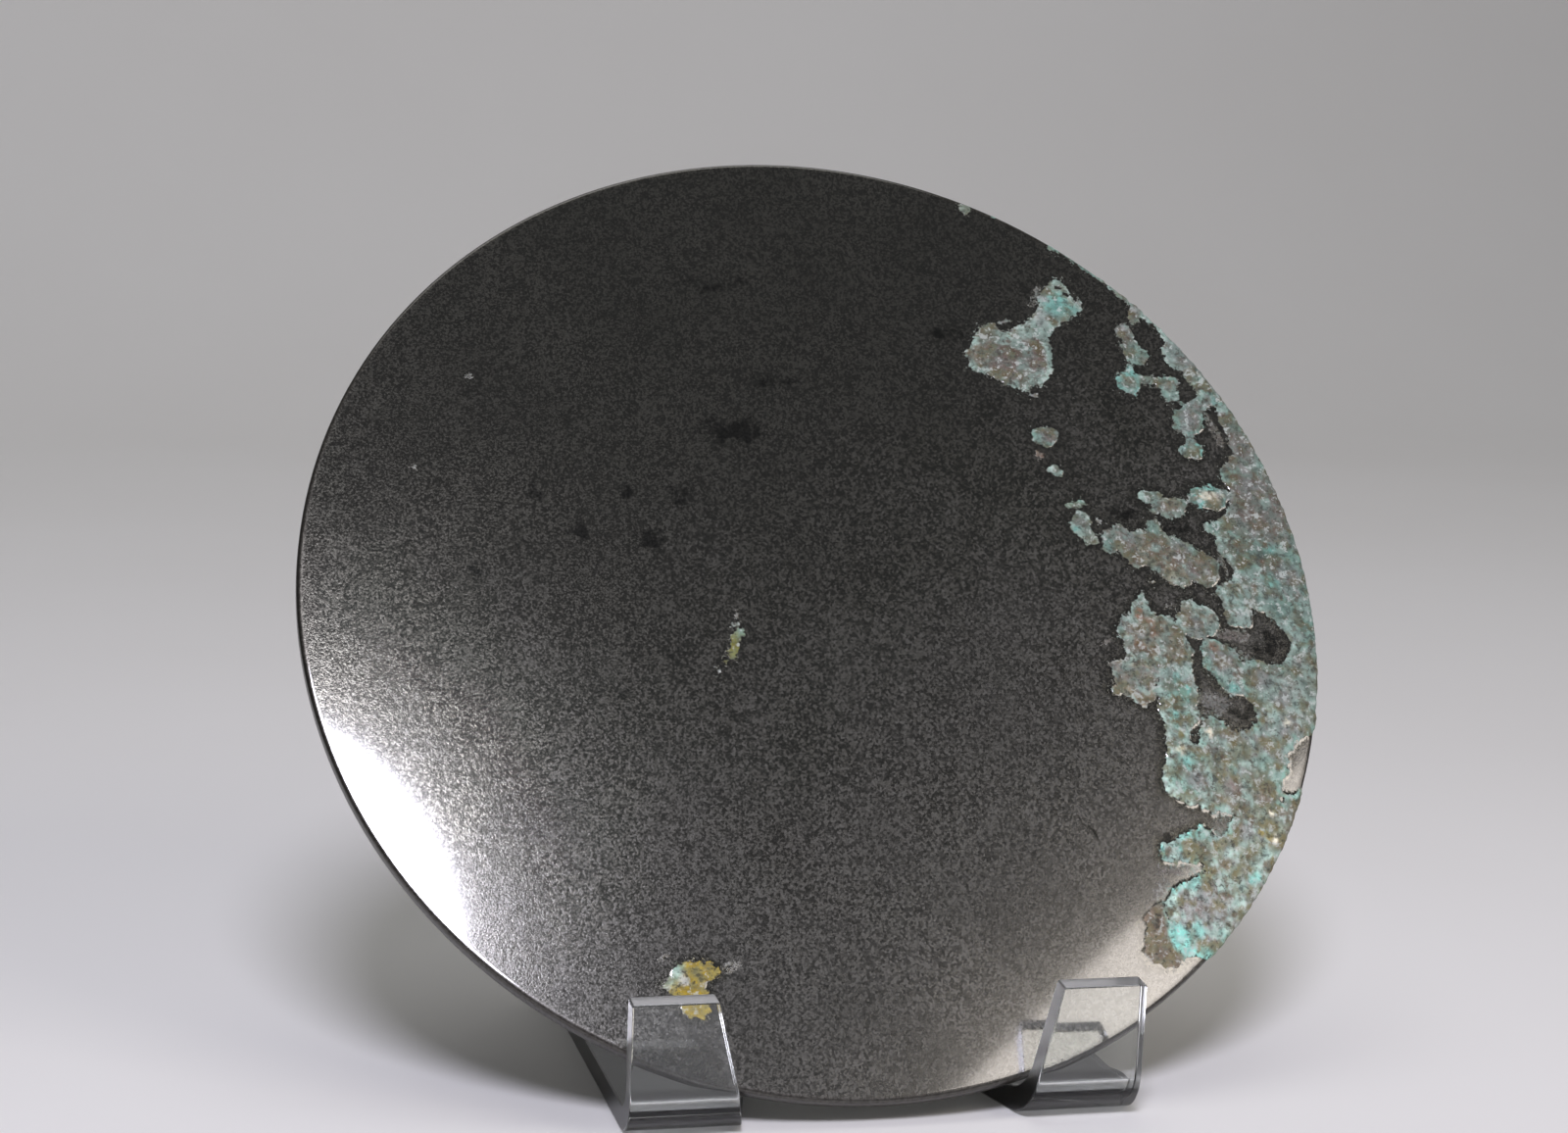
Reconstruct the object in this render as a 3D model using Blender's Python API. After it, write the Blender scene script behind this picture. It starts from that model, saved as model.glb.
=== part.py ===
"""A cast bronze mirror, polished face to the front, leaning in a clear acrylic cradle.

The mirror is one casting. The cradle is one sheet, cut flat and then bent twice: it has two lips at the
front with a tapering notch between them, a flat base, and a plain panel at the back for the mirror to lean
on. The mirror's edge lies in the front bend, on both sides of the notch.

Metres, +Z up. The front is -Y, and the origin is on the floor, under the middle of the whole outline.
"""
from math import asin, atan2, cos, pi, radians, sin, sqrt, tan

import bmesh
import bpy
from mathutils import Vector

MM = 0.001

# The mirror
MIRROR_DIAMETER = 210 * MM
EDGE_THICKNESS = 3.2 * MM
EDGE_ROUND = 0.7 * MM
FACE_DOME = 1.6 * MM
FIELD_THICKNESS = 2.1 * MM
RIM_WIDTH = 15 * MM
RELIEF_HEIGHT = 0.8 * MM
RELIEF_SLOPE = 0.6 * MM
OUTER_RING_DIAMETER = 143 * MM
INNER_RING_DIAMETER = 50 * MM
RING_WIDTH = 2.8 * MM
ARC_COUNT = 8
ARC_BAND_DIAMETER = 95 * MM
ARC_CUSP_INSET = 3 * MM
ARC_DEPTH = 9 * MM
KNOB_DIAMETER = 30 * MM
KNOB_HEIGHT = 13 * MM
KNOB_BASE_DIAMETER = 40 * MM
CORD_HOLE_WIDTH = 9 * MM
CORD_HOLE_HEIGHT = 7 * MM
CORD_HOLE_LIFT = 1 * MM
MIRROR_LEAN = radians(35)

# The cradle
SHEET = 5 * MM
STAND_WIDTH = 98.5 * MM
BASE_DEPTH = 103 * MM
LIP_HEIGHT = 26.8 * MM
LIP_WIDTH = 16.2 * MM
LIP_LEAN = radians(4)
BEND_RADIUS = 5.2 * MM
NOTCH_TAPER = radians(13.4)
NOTCH_WEB = 28 * MM
NOTCH_ROUND = 9 * MM
PANEL_LEAN = radians(4)
PANEL_ROUND = 6 * MM
CORNER_ROUND = 1 * MM
CLEARANCE = 0.3 * MM

# How finely round things are divided
TURN_SEGMENTS = 96
BEND_SEGMENTS = 8
CORNER_SEGMENTS = 4
HOLE_SEGMENTS = 12

FRONT_TURN = pi / 2 - LIP_LEAN
REAR_TURN = pi / 2 + PANEL_LEAN
OUTER_BEND = BEND_RADIUS + SHEET
MIDDLE_BEND = BEND_RADIUS + SHEET / 2


def clear_scene():
    """Removes what the scene starts with."""
    for thing in list(bpy.data.objects):
        bpy.data.objects.remove(thing)


def make_material(name, color, roughness, metallic, transmission=0.0):
    """Returns a Principled material."""
    material = bpy.data.materials.new(name)
    material.use_nodes = True
    shader = material.node_tree.nodes["Principled BSDF"]
    shader.inputs["Base Color"].default_value = (*color, 1)
    shader.inputs["Roughness"].default_value = roughness
    shader.inputs["Metallic"].default_value = metallic
    shader.inputs["Transmission Weight"].default_value = transmission
    material.diffuse_color = (*color, 1)
    return material


def make_object(name, bm, material, crease):
    """Turns a bmesh into an object, smooth wherever its faces meet at less than the crease angle."""
    mesh = bpy.data.meshes.new(name)
    bm.normal_update()
    bm.to_mesh(mesh)
    bm.free()
    mesh.shade_smooth()
    mesh.set_sharp_from_angle(angle=crease)
    mesh.materials.append(material)
    thing = bpy.data.objects.new(name, mesh)
    bpy.context.collection.objects.link(thing)
    return thing


# The cradle's side profile: s runs along the sheet's middle from the lips' top edge to the panel's
class SideProfile:
    """Where each stretch of the bent sheet starts, and how it lies in the YZ plane."""

    def __init__(self):
        self.front_centre = Vector((OUTER_BEND, OUTER_BEND))
        self.rear_centre = Vector((BASE_DEPTH - OUTER_BEND, OUTER_BEND))
        self.lip_up = Vector((-sin(LIP_LEAN), cos(LIP_LEAN)))
        self.lip_out = Vector((-cos(LIP_LEAN), -sin(LIP_LEAN)))
        self.panel_up = Vector((-sin(PANEL_LEAN), cos(PANEL_LEAN)))
        self.panel_out = Vector((cos(PANEL_LEAN), sin(PANEL_LEAN)))
        lip_start = self.front_centre + self.lip_out * OUTER_BEND
        self.lip_end = (LIP_HEIGHT - lip_start.y) / self.lip_up.y
        self.base_start = self.lip_end + MIDDLE_BEND * FRONT_TURN
        self.base_end = self.base_start + BASE_DEPTH - 2 * OUTER_BEND
        self.panel_start = self.base_end + MIDDLE_BEND * REAR_TURN
        self.panel_end = self.panel_start

    def point(self, s, depth):
        """The (y, z) at distance s along the sheet and a depth under its outer face."""
        radius = OUTER_BEND - depth
        if s < self.lip_end:
            return self.front_centre + self.lip_out * radius + self.lip_up * (self.lip_end - s)
        if s < self.base_start:
            turn = (s - self.lip_end) / MIDDLE_BEND
            return self.front_centre + (self.lip_out * cos(turn) - self.lip_up * sin(turn)) * radius
        if s < self.base_end:
            return Vector((OUTER_BEND + s - self.base_start, depth))
        if s < self.panel_start:
            turn = (self.panel_start - s) / MIDDLE_BEND
            return self.rear_centre + (self.panel_out * cos(turn) - self.panel_up * sin(turn)) * radius
        return self.rear_centre + self.panel_out * radius + self.panel_up * (s - self.panel_start)

    def bend_stations(self):
        """The places along the sheet where it has to be divided so that it can bend."""
        for start, end in ((self.lip_end, self.base_start), (self.base_end, self.panel_start)):
            for step in range(BEND_SEGMENTS + 1):
                yield start + (end - start) * step / BEND_SEGMENTS


def notch_half_width(s):
    """Half the width of the notch between the lips, which narrows towards the back."""
    return STAND_WIDTH / 2 - LIP_WIDTH - tan(NOTCH_TAPER) * s


class MirrorSeat:
    """Where the mirror lies: its back edge and its front edge are both inside the front bend."""

    def __init__(self, profile):
        self.up = Vector((sin(MIRROR_LEAN), cos(MIRROR_LEAN)))
        self.front = Vector((-cos(MIRROR_LEAN), sin(MIRROR_LEAN)))
        reach = BEND_RADIUS - CLEARANCE
        half_edge = min(EDGE_THICKNESS / 2, reach)
        edge_middle = profile.front_centre - self.up * sqrt(reach ** 2 - half_edge ** 2)
        turn = pi / 2 - LIP_LEAN - MIRROR_LEAN + asin(half_edge / reach)
        half_notch = notch_half_width(profile.lip_end + MIDDLE_BEND * turn)
        rise = sqrt((MIRROR_DIAMETER / 2) ** 2 - half_notch ** 2)
        self.centre = edge_middle + self.front * EDGE_THICKNESS / 2 + self.up * rise

    def panel_length(self, profile):
        """How long the back panel is, to stop just short of the mirror's back."""
        corner = profile.point(profile.panel_start, SHEET)
        back = self.centre - self.front * (EDGE_THICKNESS + CLEARANCE)
        return (back - corner).dot(self.front) / profile.panel_up.dot(self.front)


# The cradle
def rounded_outline(corners):
    """Points along a closed outline whose corners, each (x, y, radius), are rounded."""
    points = []
    for index, (x, y, radius) in enumerate(corners):
        corner = Vector((x, y))
        before = (Vector(corners[index - 1][:2]) - corner).normalized()
        after = (Vector(corners[(index + 1) % len(corners)][:2]) - corner).normalized()
        half_angle = before.angle(after) / 2
        centre = corner + (before + after).normalized() * radius / sin(half_angle)
        start = corner + before * radius / tan(half_angle) - centre
        end = corner + after * radius / tan(half_angle) - centre
        first = atan2(start.y, start.x)
        sweep = (atan2(end.y, end.x) - first + pi) % (2 * pi) - pi
        for step in range(CORNER_SEGMENTS + 1):
            angle = first + sweep * step / CORNER_SEGMENTS
            points.append(centre + Vector((cos(angle), sin(angle))) * radius)
    return points


def flat_pattern(profile):
    """The sheet's outline before it is bent: x across it, y along it."""
    side = STAND_WIDTH / 2
    notch_end = profile.base_end - NOTCH_WEB
    end_half = notch_half_width(notch_end)
    notch_round = min(NOTCH_ROUND, end_half * 0.9)
    inner = side - LIP_WIDTH
    return rounded_outline([
        (-side, 0, CORNER_ROUND),
        (-inner, 0, CORNER_ROUND),
        (-end_half, notch_end, notch_round),
        (end_half, notch_end, notch_round),
        (inner, 0, CORNER_ROUND),
        (side, 0, CORNER_ROUND),
        (side, profile.panel_end, PANEL_ROUND),
        (-side, profile.panel_end, PANEL_ROUND),
    ])


def make_stand(profile, material):
    """Cuts the sheet flat, divides it where it bends, and bends it."""
    bm = bmesh.new()
    outline = [bm.verts.new((point.x, point.y, 0)) for point in flat_pattern(profile)]
    bm.faces.new(outline)
    extruded = bmesh.ops.extrude_face_region(bm, geom=bm.faces[:])
    raised = [part for part in extruded["geom"] if isinstance(part, bmesh.types.BMVert)]
    bmesh.ops.translate(bm, verts=raised, vec=(0, 0, SHEET))
    for station in profile.bend_stations():
        bmesh.ops.bisect_plane(bm, geom=bm.verts[:] + bm.edges[:] + bm.faces[:], dist=1e-7,
                               plane_co=(0, station, 0), plane_no=(0, 1, 0))
    bmesh.ops.triangulate(bm, faces=bm.faces[:])
    bmesh.ops.recalc_face_normals(bm, faces=bm.faces[:])
    for vert in bm.verts:
        bent = profile.point(vert.co.y, vert.co.z)
        vert.co = (vert.co.x, bent.x, bent.y)
    return make_object("stand", bm, material, radians(25))


# The mirror, turned about its own Z, which points out of the polished face
def face_height(radius):
    """Height of the domed face over the plane of its edge."""
    return FACE_DOME * (1 - (2 * radius / MIRROR_DIAMETER) ** 2)


def arc_radius(angle):
    """Inner edge of the arc band: each arc bulges towards the knob between two cusps."""
    cusp = ARC_BAND_DIAMETER / 2 - ARC_CUSP_INSET
    middle = cusp - ARC_DEPTH
    half_sector = pi / ARC_COUNT
    chord = cusp * cos(half_sector)
    half_chord = cusp * sin(half_sector)
    centre = (chord ** 2 + half_chord ** 2 - middle ** 2) / (2 * (chord - middle))
    offset = (angle + half_sector) % (2 * half_sector) - half_sector
    radius = centre - middle
    return centre * cos(offset) - sqrt(max(radius ** 2 - (centre * sin(offset)) ** 2, 0))


def edge_stations():
    """The rounded edge, from the polished face to the back."""
    edge = MIRROR_DIAMETER / 2 - EDGE_ROUND
    for height, turns in ((-EDGE_ROUND, (90, 45, 0)), (EDGE_ROUND - EDGE_THICKNESS, (0, -45, -90))):
        for turn in turns:
            angle = radians(turn)
            yield edge + EDGE_ROUND * cos(angle), height + EDGE_ROUND * sin(angle)


def raised_ring(outer, inner):
    """A flat-topped ring on the back, from its outer foot to its inner foot."""
    field = -FIELD_THICKNESS
    top = field - RELIEF_HEIGHT
    yield outer, field
    yield outer - RELIEF_SLOPE, top
    yield inner + RELIEF_SLOPE, top
    yield inner, field


def arc_band():
    """The band of linked arcs, whose inner edge changes with the angle."""
    field = -FIELD_THICKNESS
    top = field - RELIEF_HEIGHT
    yield ARC_BAND_DIAMETER / 2, field
    yield ARC_BAND_DIAMETER / 2 - RELIEF_SLOPE, top
    yield lambda angle: arc_radius(angle) + RELIEF_SLOPE, top
    yield arc_radius, field


def knob_stations():
    """The knob's round base and its dome, down to the last ring round its top."""
    field = -FIELD_THICKNESS
    base_top = field - RELIEF_HEIGHT
    base_radius = KNOB_BASE_DIAMETER / 2
    yield base_radius, field
    yield base_radius - RELIEF_SLOPE, base_top
    dome = KNOB_HEIGHT - RELIEF_HEIGHT
    for turn in (0, 15, 30, 45, 60, 75):
        yield KNOB_DIAMETER / 2 * cos(radians(turn)), base_top - dome * sin(radians(turn))


def mirror_stations():
    """Every ring of the mirror as (radius or radius function, height), from the face to the knob."""
    edge = MIRROR_DIAMETER / 2
    for share in (0.25, 0.5, 0.7, 0.85, 0.95):
        yield edge * share, face_height(edge * share)
    yield from edge_stations()
    yield edge - RIM_WIDTH, -EDGE_THICKNESS
    yield edge - RIM_WIDTH - RELIEF_SLOPE * 2, -FIELD_THICKNESS
    yield from raised_ring(OUTER_RING_DIAMETER / 2, OUTER_RING_DIAMETER / 2 - RING_WIDTH)
    yield from arc_band()
    yield from raised_ring(INNER_RING_DIAMETER / 2, INNER_RING_DIAMETER / 2 - RING_WIDTH)
    yield from knob_stations()


def make_ring(bm, radius, height):
    """Adds one ring of vertices. The radius is a number or a function of the angle."""
    ring = []
    for step in range(TURN_SEGMENTS):
        angle = 2 * pi * step / TURN_SEGMENTS
        size = radius(angle) if callable(radius) else radius
        ring.append(bm.verts.new((size * cos(angle), size * sin(angle), height)))
    return ring


def bridge(bm, ring, following):
    """Joins two rings, or a ring and a single end vertex, with faces that point outwards."""
    for step in range(TURN_SEGMENTS):
        beside = (step + 1) % TURN_SEGMENTS
        if len(following) == 1:
            bm.faces.new((ring[beside], ring[step], following[0]))
        elif len(ring) == 1:
            bm.faces.new((ring[0], following[step], following[beside]))
        else:
            bm.faces.new((ring[beside], ring[step], following[step], following[beside]))


def make_cord_hole(material):
    """The cutter for the arched hole through the knob, along X."""
    half_width = CORD_HOLE_WIDTH / 2
    foot = -FIELD_THICKNESS - RELIEF_HEIGHT - CORD_HOLE_LIFT
    spring = foot - (CORD_HOLE_HEIGHT - half_width)
    reach = KNOB_BASE_DIAMETER / 2
    outline = [(-half_width, foot), (half_width, foot)]
    for step in range(HOLE_SEGMENTS + 1):
        angle = pi * step / HOLE_SEGMENTS
        outline.append((half_width * cos(angle), spring - half_width * sin(angle)))
    bm = bmesh.new()
    end = bm.faces.new([bm.verts.new((-reach, y, z)) for y, z in outline])
    extruded = bmesh.ops.extrude_face_region(bm, geom=[end])
    moved = [part for part in extruded["geom"] if isinstance(part, bmesh.types.BMVert)]
    bmesh.ops.translate(bm, verts=moved, vec=(2 * reach, 0, 0))
    bmesh.ops.recalc_face_normals(bm, faces=bm.faces[:])
    cutter = make_object("cord_hole_cutter", bm, material, radians(25))
    cutter.hide_render = True
    cutter.display_type = "WIRE"
    return cutter


def make_mirror(material):
    """Turns the mirror from its stations and pierces the knob."""
    bm = bmesh.new()
    ring = [bm.verts.new((0, 0, face_height(0)))]
    for radius, height in mirror_stations():
        following = make_ring(bm, radius, height)
        bridge(bm, ring, following)
        ring = following
    bridge(bm, ring, [bm.verts.new((0, 0, -FIELD_THICKNESS - KNOB_HEIGHT))])
    mirror = make_object("mirror", bm, material, radians(25))
    cutter = make_cord_hole(material)
    cutter.parent = mirror
    cut = mirror.modifiers.new("Cord hole", "BOOLEAN")
    cut.operation = "DIFFERENCE"
    cut.object = cutter
    return mirror


def outline_middle(profile, seat):
    """How far the middle of the whole outline is behind the front bend."""
    front = profile.point(0, 0).x
    reaches = [radius * seat.up.x + height * seat.front.x for radius, height in edge_stations()]
    return (front + seat.centre.x + max(reaches)) / 2


def main():
    """Builds the cradle, then lays the mirror in it."""
    clear_scene()
    bronze = make_material("patinated_bronze", (0.035, 0.035, 0.033), 0.32, 0.9)
    acrylic = make_material("clear_acrylic", (0.9, 0.93, 0.94), 0.03, 0.0, 1.0)
    profile = SideProfile()
    seat = MirrorSeat(profile)
    profile.panel_end = profile.panel_start + seat.panel_length(profile)
    origin = bpy.data.objects.new("origin", None)
    bpy.context.collection.objects.link(origin)
    origin.location = (0, -outline_middle(profile, seat), 0)
    stand = make_stand(profile, acrylic)
    stand.parent = origin
    mirror = make_mirror(bronze)
    mirror.parent = origin
    mirror.location = (0, seat.centre.x, seat.centre.y)
    mirror.rotation_euler = (pi / 2 - MIRROR_LEAN, 0, 0)


main()
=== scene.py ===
"""Looks for an ancient cast bronze mirror that leans, polished side to the front, in a clear cradle.

Two pieces stand for the two CAD nodes. The mirror is turned, pierced and given its corrosion as real
relief. The cradle is cut flat, its edges are eased, and it is bent. Metres, +Z up, front -Y.
"""
import logging
from dataclasses import dataclass, field
from enum import Enum
from math import atan2, cos, pi, radians, sin, tan
from typing import Any, Callable, Iterator

import bmesh
import bpy
import numpy as np
from mathutils import Matrix, Vector, noise


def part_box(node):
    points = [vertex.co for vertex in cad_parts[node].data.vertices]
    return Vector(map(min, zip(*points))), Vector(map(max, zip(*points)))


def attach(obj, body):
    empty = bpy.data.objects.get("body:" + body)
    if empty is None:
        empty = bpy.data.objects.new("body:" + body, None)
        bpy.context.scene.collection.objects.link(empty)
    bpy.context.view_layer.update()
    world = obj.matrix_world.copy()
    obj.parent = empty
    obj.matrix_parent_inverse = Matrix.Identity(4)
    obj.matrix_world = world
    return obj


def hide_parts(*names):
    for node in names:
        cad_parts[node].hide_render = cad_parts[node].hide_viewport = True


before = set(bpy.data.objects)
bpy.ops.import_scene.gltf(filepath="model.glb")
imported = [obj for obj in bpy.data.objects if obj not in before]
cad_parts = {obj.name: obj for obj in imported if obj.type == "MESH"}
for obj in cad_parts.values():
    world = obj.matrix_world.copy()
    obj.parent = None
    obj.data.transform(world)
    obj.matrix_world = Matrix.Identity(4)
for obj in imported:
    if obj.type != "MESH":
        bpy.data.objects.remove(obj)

MM = 0.001
FAR = 99.0  # Further than any point of the disc is from a growth, in millimetres
TINY = 1e-9
SNAP = 0.01  # How near a vertex lies to the place that it is picked by, in millimetres
log = logging.getLogger("bronze_mirror")


# Helpers
def linear(hex_colour: str) -> tuple[float, float, float, float]:
    """Turns an sRGB hex value into the linear colour that a shader socket takes.

    Args:
        hex_colour: The colour as "#RRGGBB".

    Returns:
        Linear red, green and blue, and 1 for alpha.
    """
    shares = [int(hex_colour[at:at + 2], 16) / 255 for at in (1, 3, 5)]
    red, green, blue = [s / 12.92 if s <= 0.04045 else ((s + 0.055) / 1.055) ** 2.4 for s in shares]
    return red, green, blue, 1.0


def add_node(material: bpy.types.ID, kind: str, inputs: dict[Any, Any] | None = None,
             **settings: Any) -> bpy.types.Node:
    """Adds a shader node, sets it up and links it.

    Args:
        material: The material or world whose tree the node goes into.
        kind: The node's type, without the ShaderNode in front.
        inputs: A value or an output socket for each named or numbered input.
        settings: The node's own settings.

    Returns:
        The new node.
    """
    tree = material.node_tree
    node = tree.nodes.new("ShaderNode" + kind)
    for name, value in settings.items():
        setattr(node, name, value)
    for name, value in (inputs or {}).items():
        if isinstance(value, bpy.types.NodeSocket):
            tree.links.new(value, node.inputs[name])
        else:
            node.inputs[name].default_value = value
    return node


def new_material(name: str) -> bpy.types.Material:
    """Adds a material with an empty node tree.

    Args:
        name: What the material is called.

    Returns:
        The new material.
    """
    material = bpy.data.materials.new(name)
    material.use_nodes = True
    material.node_tree.nodes.clear()
    return material


def deselect_all() -> None:
    """Leaves object mode with nothing selected, so that an operator acts on the new piece alone."""
    if bpy.context.object and bpy.context.object.mode != "OBJECT":
        bpy.ops.object.mode_set(mode="OBJECT")
    bpy.ops.object.select_all(action="DESELECT")


def activate(piece: bpy.types.Object) -> None:
    """Selects one piece alone, in object mode, and makes it the active one.

    Args:
        piece: The piece that the next operators act on.
    """
    deselect_all()
    piece.select_set(True)
    bpy.context.view_layer.objects.active = piece


def apply_transform() -> None:
    """Makes the place, the turn and the scale of the selected piece part of its mesh."""
    bpy.ops.object.transform_apply(location=True, rotation=True, scale=True)


def pick(piece: bpy.types.Object, wanted: Callable[[Any], bool], part: str = "verts") -> None:
    """Selects, in edit mode, the vertices, edges or faces that pass a test, and nothing else.

    Args:
        piece: The object being edited.
        wanted: The test for one vertex, edge or face.
        part: "verts", "edges" or "faces".
    """
    mode = {"verts": "VERT", "edges": "EDGE", "faces": "FACE"}[part]
    bpy.ops.mesh.select_mode(type=mode)
    bpy.ops.mesh.select_all(action="DESELECT")
    bm = bmesh.from_edit_mesh(piece.data)
    for item in getattr(bm, part):
        if wanted(item):
            item.select_set(True)
    bm.select_flush_mode()
    bmesh.update_edit_mesh(piece.data)


def face_outward() -> None:
    """Turns every face of the piece that is being edited outward."""
    bpy.ops.mesh.select_all(action="SELECT")
    bpy.ops.mesh.normals_make_consistent(inside=False)


def cut_across(point: tuple[float, float], normal: tuple[float, float] = (0, 1)) -> None:
    """Cuts the piece that is being edited along an upright plane, and keeps both sides.

    Args:
        point: Where the plane goes through, in millimetres across and along the piece.
        normal: The direction that the plane faces.
    """
    bpy.ops.mesh.select_all(action="SELECT")
    bpy.ops.mesh.bisect(plane_co=(point[0] * MM, point[1] * MM, 0), plane_no=(*normal, 0))


def apply_modifier(piece: bpy.types.Object, kind: str, **settings: Any) -> None:
    """Adds a modifier to a piece, sets it up and applies it.

    Args:
        piece: The active object, in object mode.
        kind: The modifier's type.
        settings: The modifier's own settings.
    """
    modifier = piece.modifiers.new(kind.title(), kind)
    for name, value in settings.items():
        setattr(modifier, name, value)
    bpy.ops.object.modifier_apply(modifier=modifier.name)


def ease(value: np.ndarray, low: float, high: float) -> np.ndarray:
    """Goes smoothly from 0 at low to 1 at high."""
    share = np.clip((value - low) / (high - low), 0, 1)
    return share * share * (3 - 2 * share)


def blend(first: np.ndarray, second: np.ndarray, share: np.ndarray) -> np.ndarray:
    """Mixes two colours, or lists of colours, by a share for each point."""
    return first + (second - first) * share[:, None]


# The corrosion, laid out in millimetres from the middle of the disc, x to the right and y up the disc
class Tone(Enum):
    """The colours of the corrosion in soft white light."""

    TURQUOISE = "#8ACFC1"
    TEAL = "#80A394"
    WHITE_TEAL = "#AFC9BB"
    GREY_GREEN = "#7F8877"
    GREY = "#8A8A86"
    OLIVE = "#686040"
    BROWN_GREY = "#7A665E"
    BROWN = "#665A4C"
    DARK_BROWN = "#3F3830"
    TAN = "#958C76"
    ORANGE = "#A06B4C"
    CREAM = "#FFF8DC"
    OCHRE = "#8C7614"
    MOSS = "#7F7B33"
    WHITE = "#C6C8C2"

    def rgb(self) -> np.ndarray:
        """The tone as a linear colour."""
        return np.array(linear(self.value)[:3])


@dataclass(frozen=True)
class Growth:
    """One growth of corrosion.

    points is its outline, or its path, in millimetres. core is the tone inside, rim the tone along its
    border, and lift how high it stands, in millimetres.
    """

    points: tuple[tuple[float, ...], ...]
    core: Tone = Tone.GREY_GREEN
    rim: Tone = Tone.TEAL
    lift: float = 0.35

    def depth(self, x: np.ndarray, y: np.ndarray) -> np.ndarray:
        """How far inside the growth each point is, in millimetres; negative is outside.

        Args:
            x: The points' places across the disc.
            y: The points' places up the disc.

        Returns:
            The depth of each point.
        """
        raise NotImplementedError


def along_line(x: np.ndarray, y: np.ndarray, start: tuple[float, ...],
               end: tuple[float, ...]) -> tuple[np.ndarray, np.ndarray]:
    """How far each point is from a line between two points, and how far along it the nearest place is.

    Args:
        x: The points' places across the disc.
        y: The points' places up the disc.
        start: Where the line starts.
        end: Where it ends.

    Returns:
        The distance of each point, and its share of the way along.
    """
    run_x, run_y = end[0] - start[0], end[1] - start[1]
    length = max(run_x ** 2 + run_y ** 2, TINY)
    share = np.clip(((x - start[0]) * run_x + (y - start[1]) * run_y) / length, 0, 1)
    return np.hypot(x - start[0] - share * run_x, y - start[1] - share * run_y), share


@dataclass(frozen=True)
class Flake(Growth):
    """A growth given by its outline, as (x, y) corners."""

    def depth(self, x: np.ndarray, y: np.ndarray) -> np.ndarray:
        """How far inside the outline each point is, in millimetres; negative is outside.

        Args:
            x: The points' places across the disc.
            y: The points' places up the disc.

        Returns:
            The depth of each point.
        """
        nearest = np.full(len(x), FAR)
        inside = np.zeros(len(x), bool)
        for start, end in zip(self.points, self.points[1:] + self.points[:1]):
            nearest = np.minimum(nearest, along_line(x, y, start, end)[0])
            spans = (start[1] > y) != (end[1] > y)
            rise = end[1] - start[1] or TINY
            inside ^= spans & (x < (end[0] - start[0]) * (y - start[1]) / rise + start[0])
        return np.where(inside, nearest, -nearest)


@dataclass(frozen=True)
class Bead(Growth):
    """A growth given by one disc, or by a stroke of discs that run into each other, as (x, y, radius)."""

    def depth(self, x: np.ndarray, y: np.ndarray) -> np.ndarray:
        """How far inside the stroke each point is, in millimetres; negative is outside.

        Args:
            x: The points' places across the disc.
            y: The points' places up the disc.

        Returns:
            The depth of each point.
        """
        depth = np.full(len(x), -FAR)
        for start, end in list(zip(self.points, self.points[1:])) or [(self.points[0],) * 2]:
            away, share = along_line(x, y, start, end)
            depth = np.maximum(depth, start[2] + share * (end[2] - start[2]) - away)
        return depth


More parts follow.
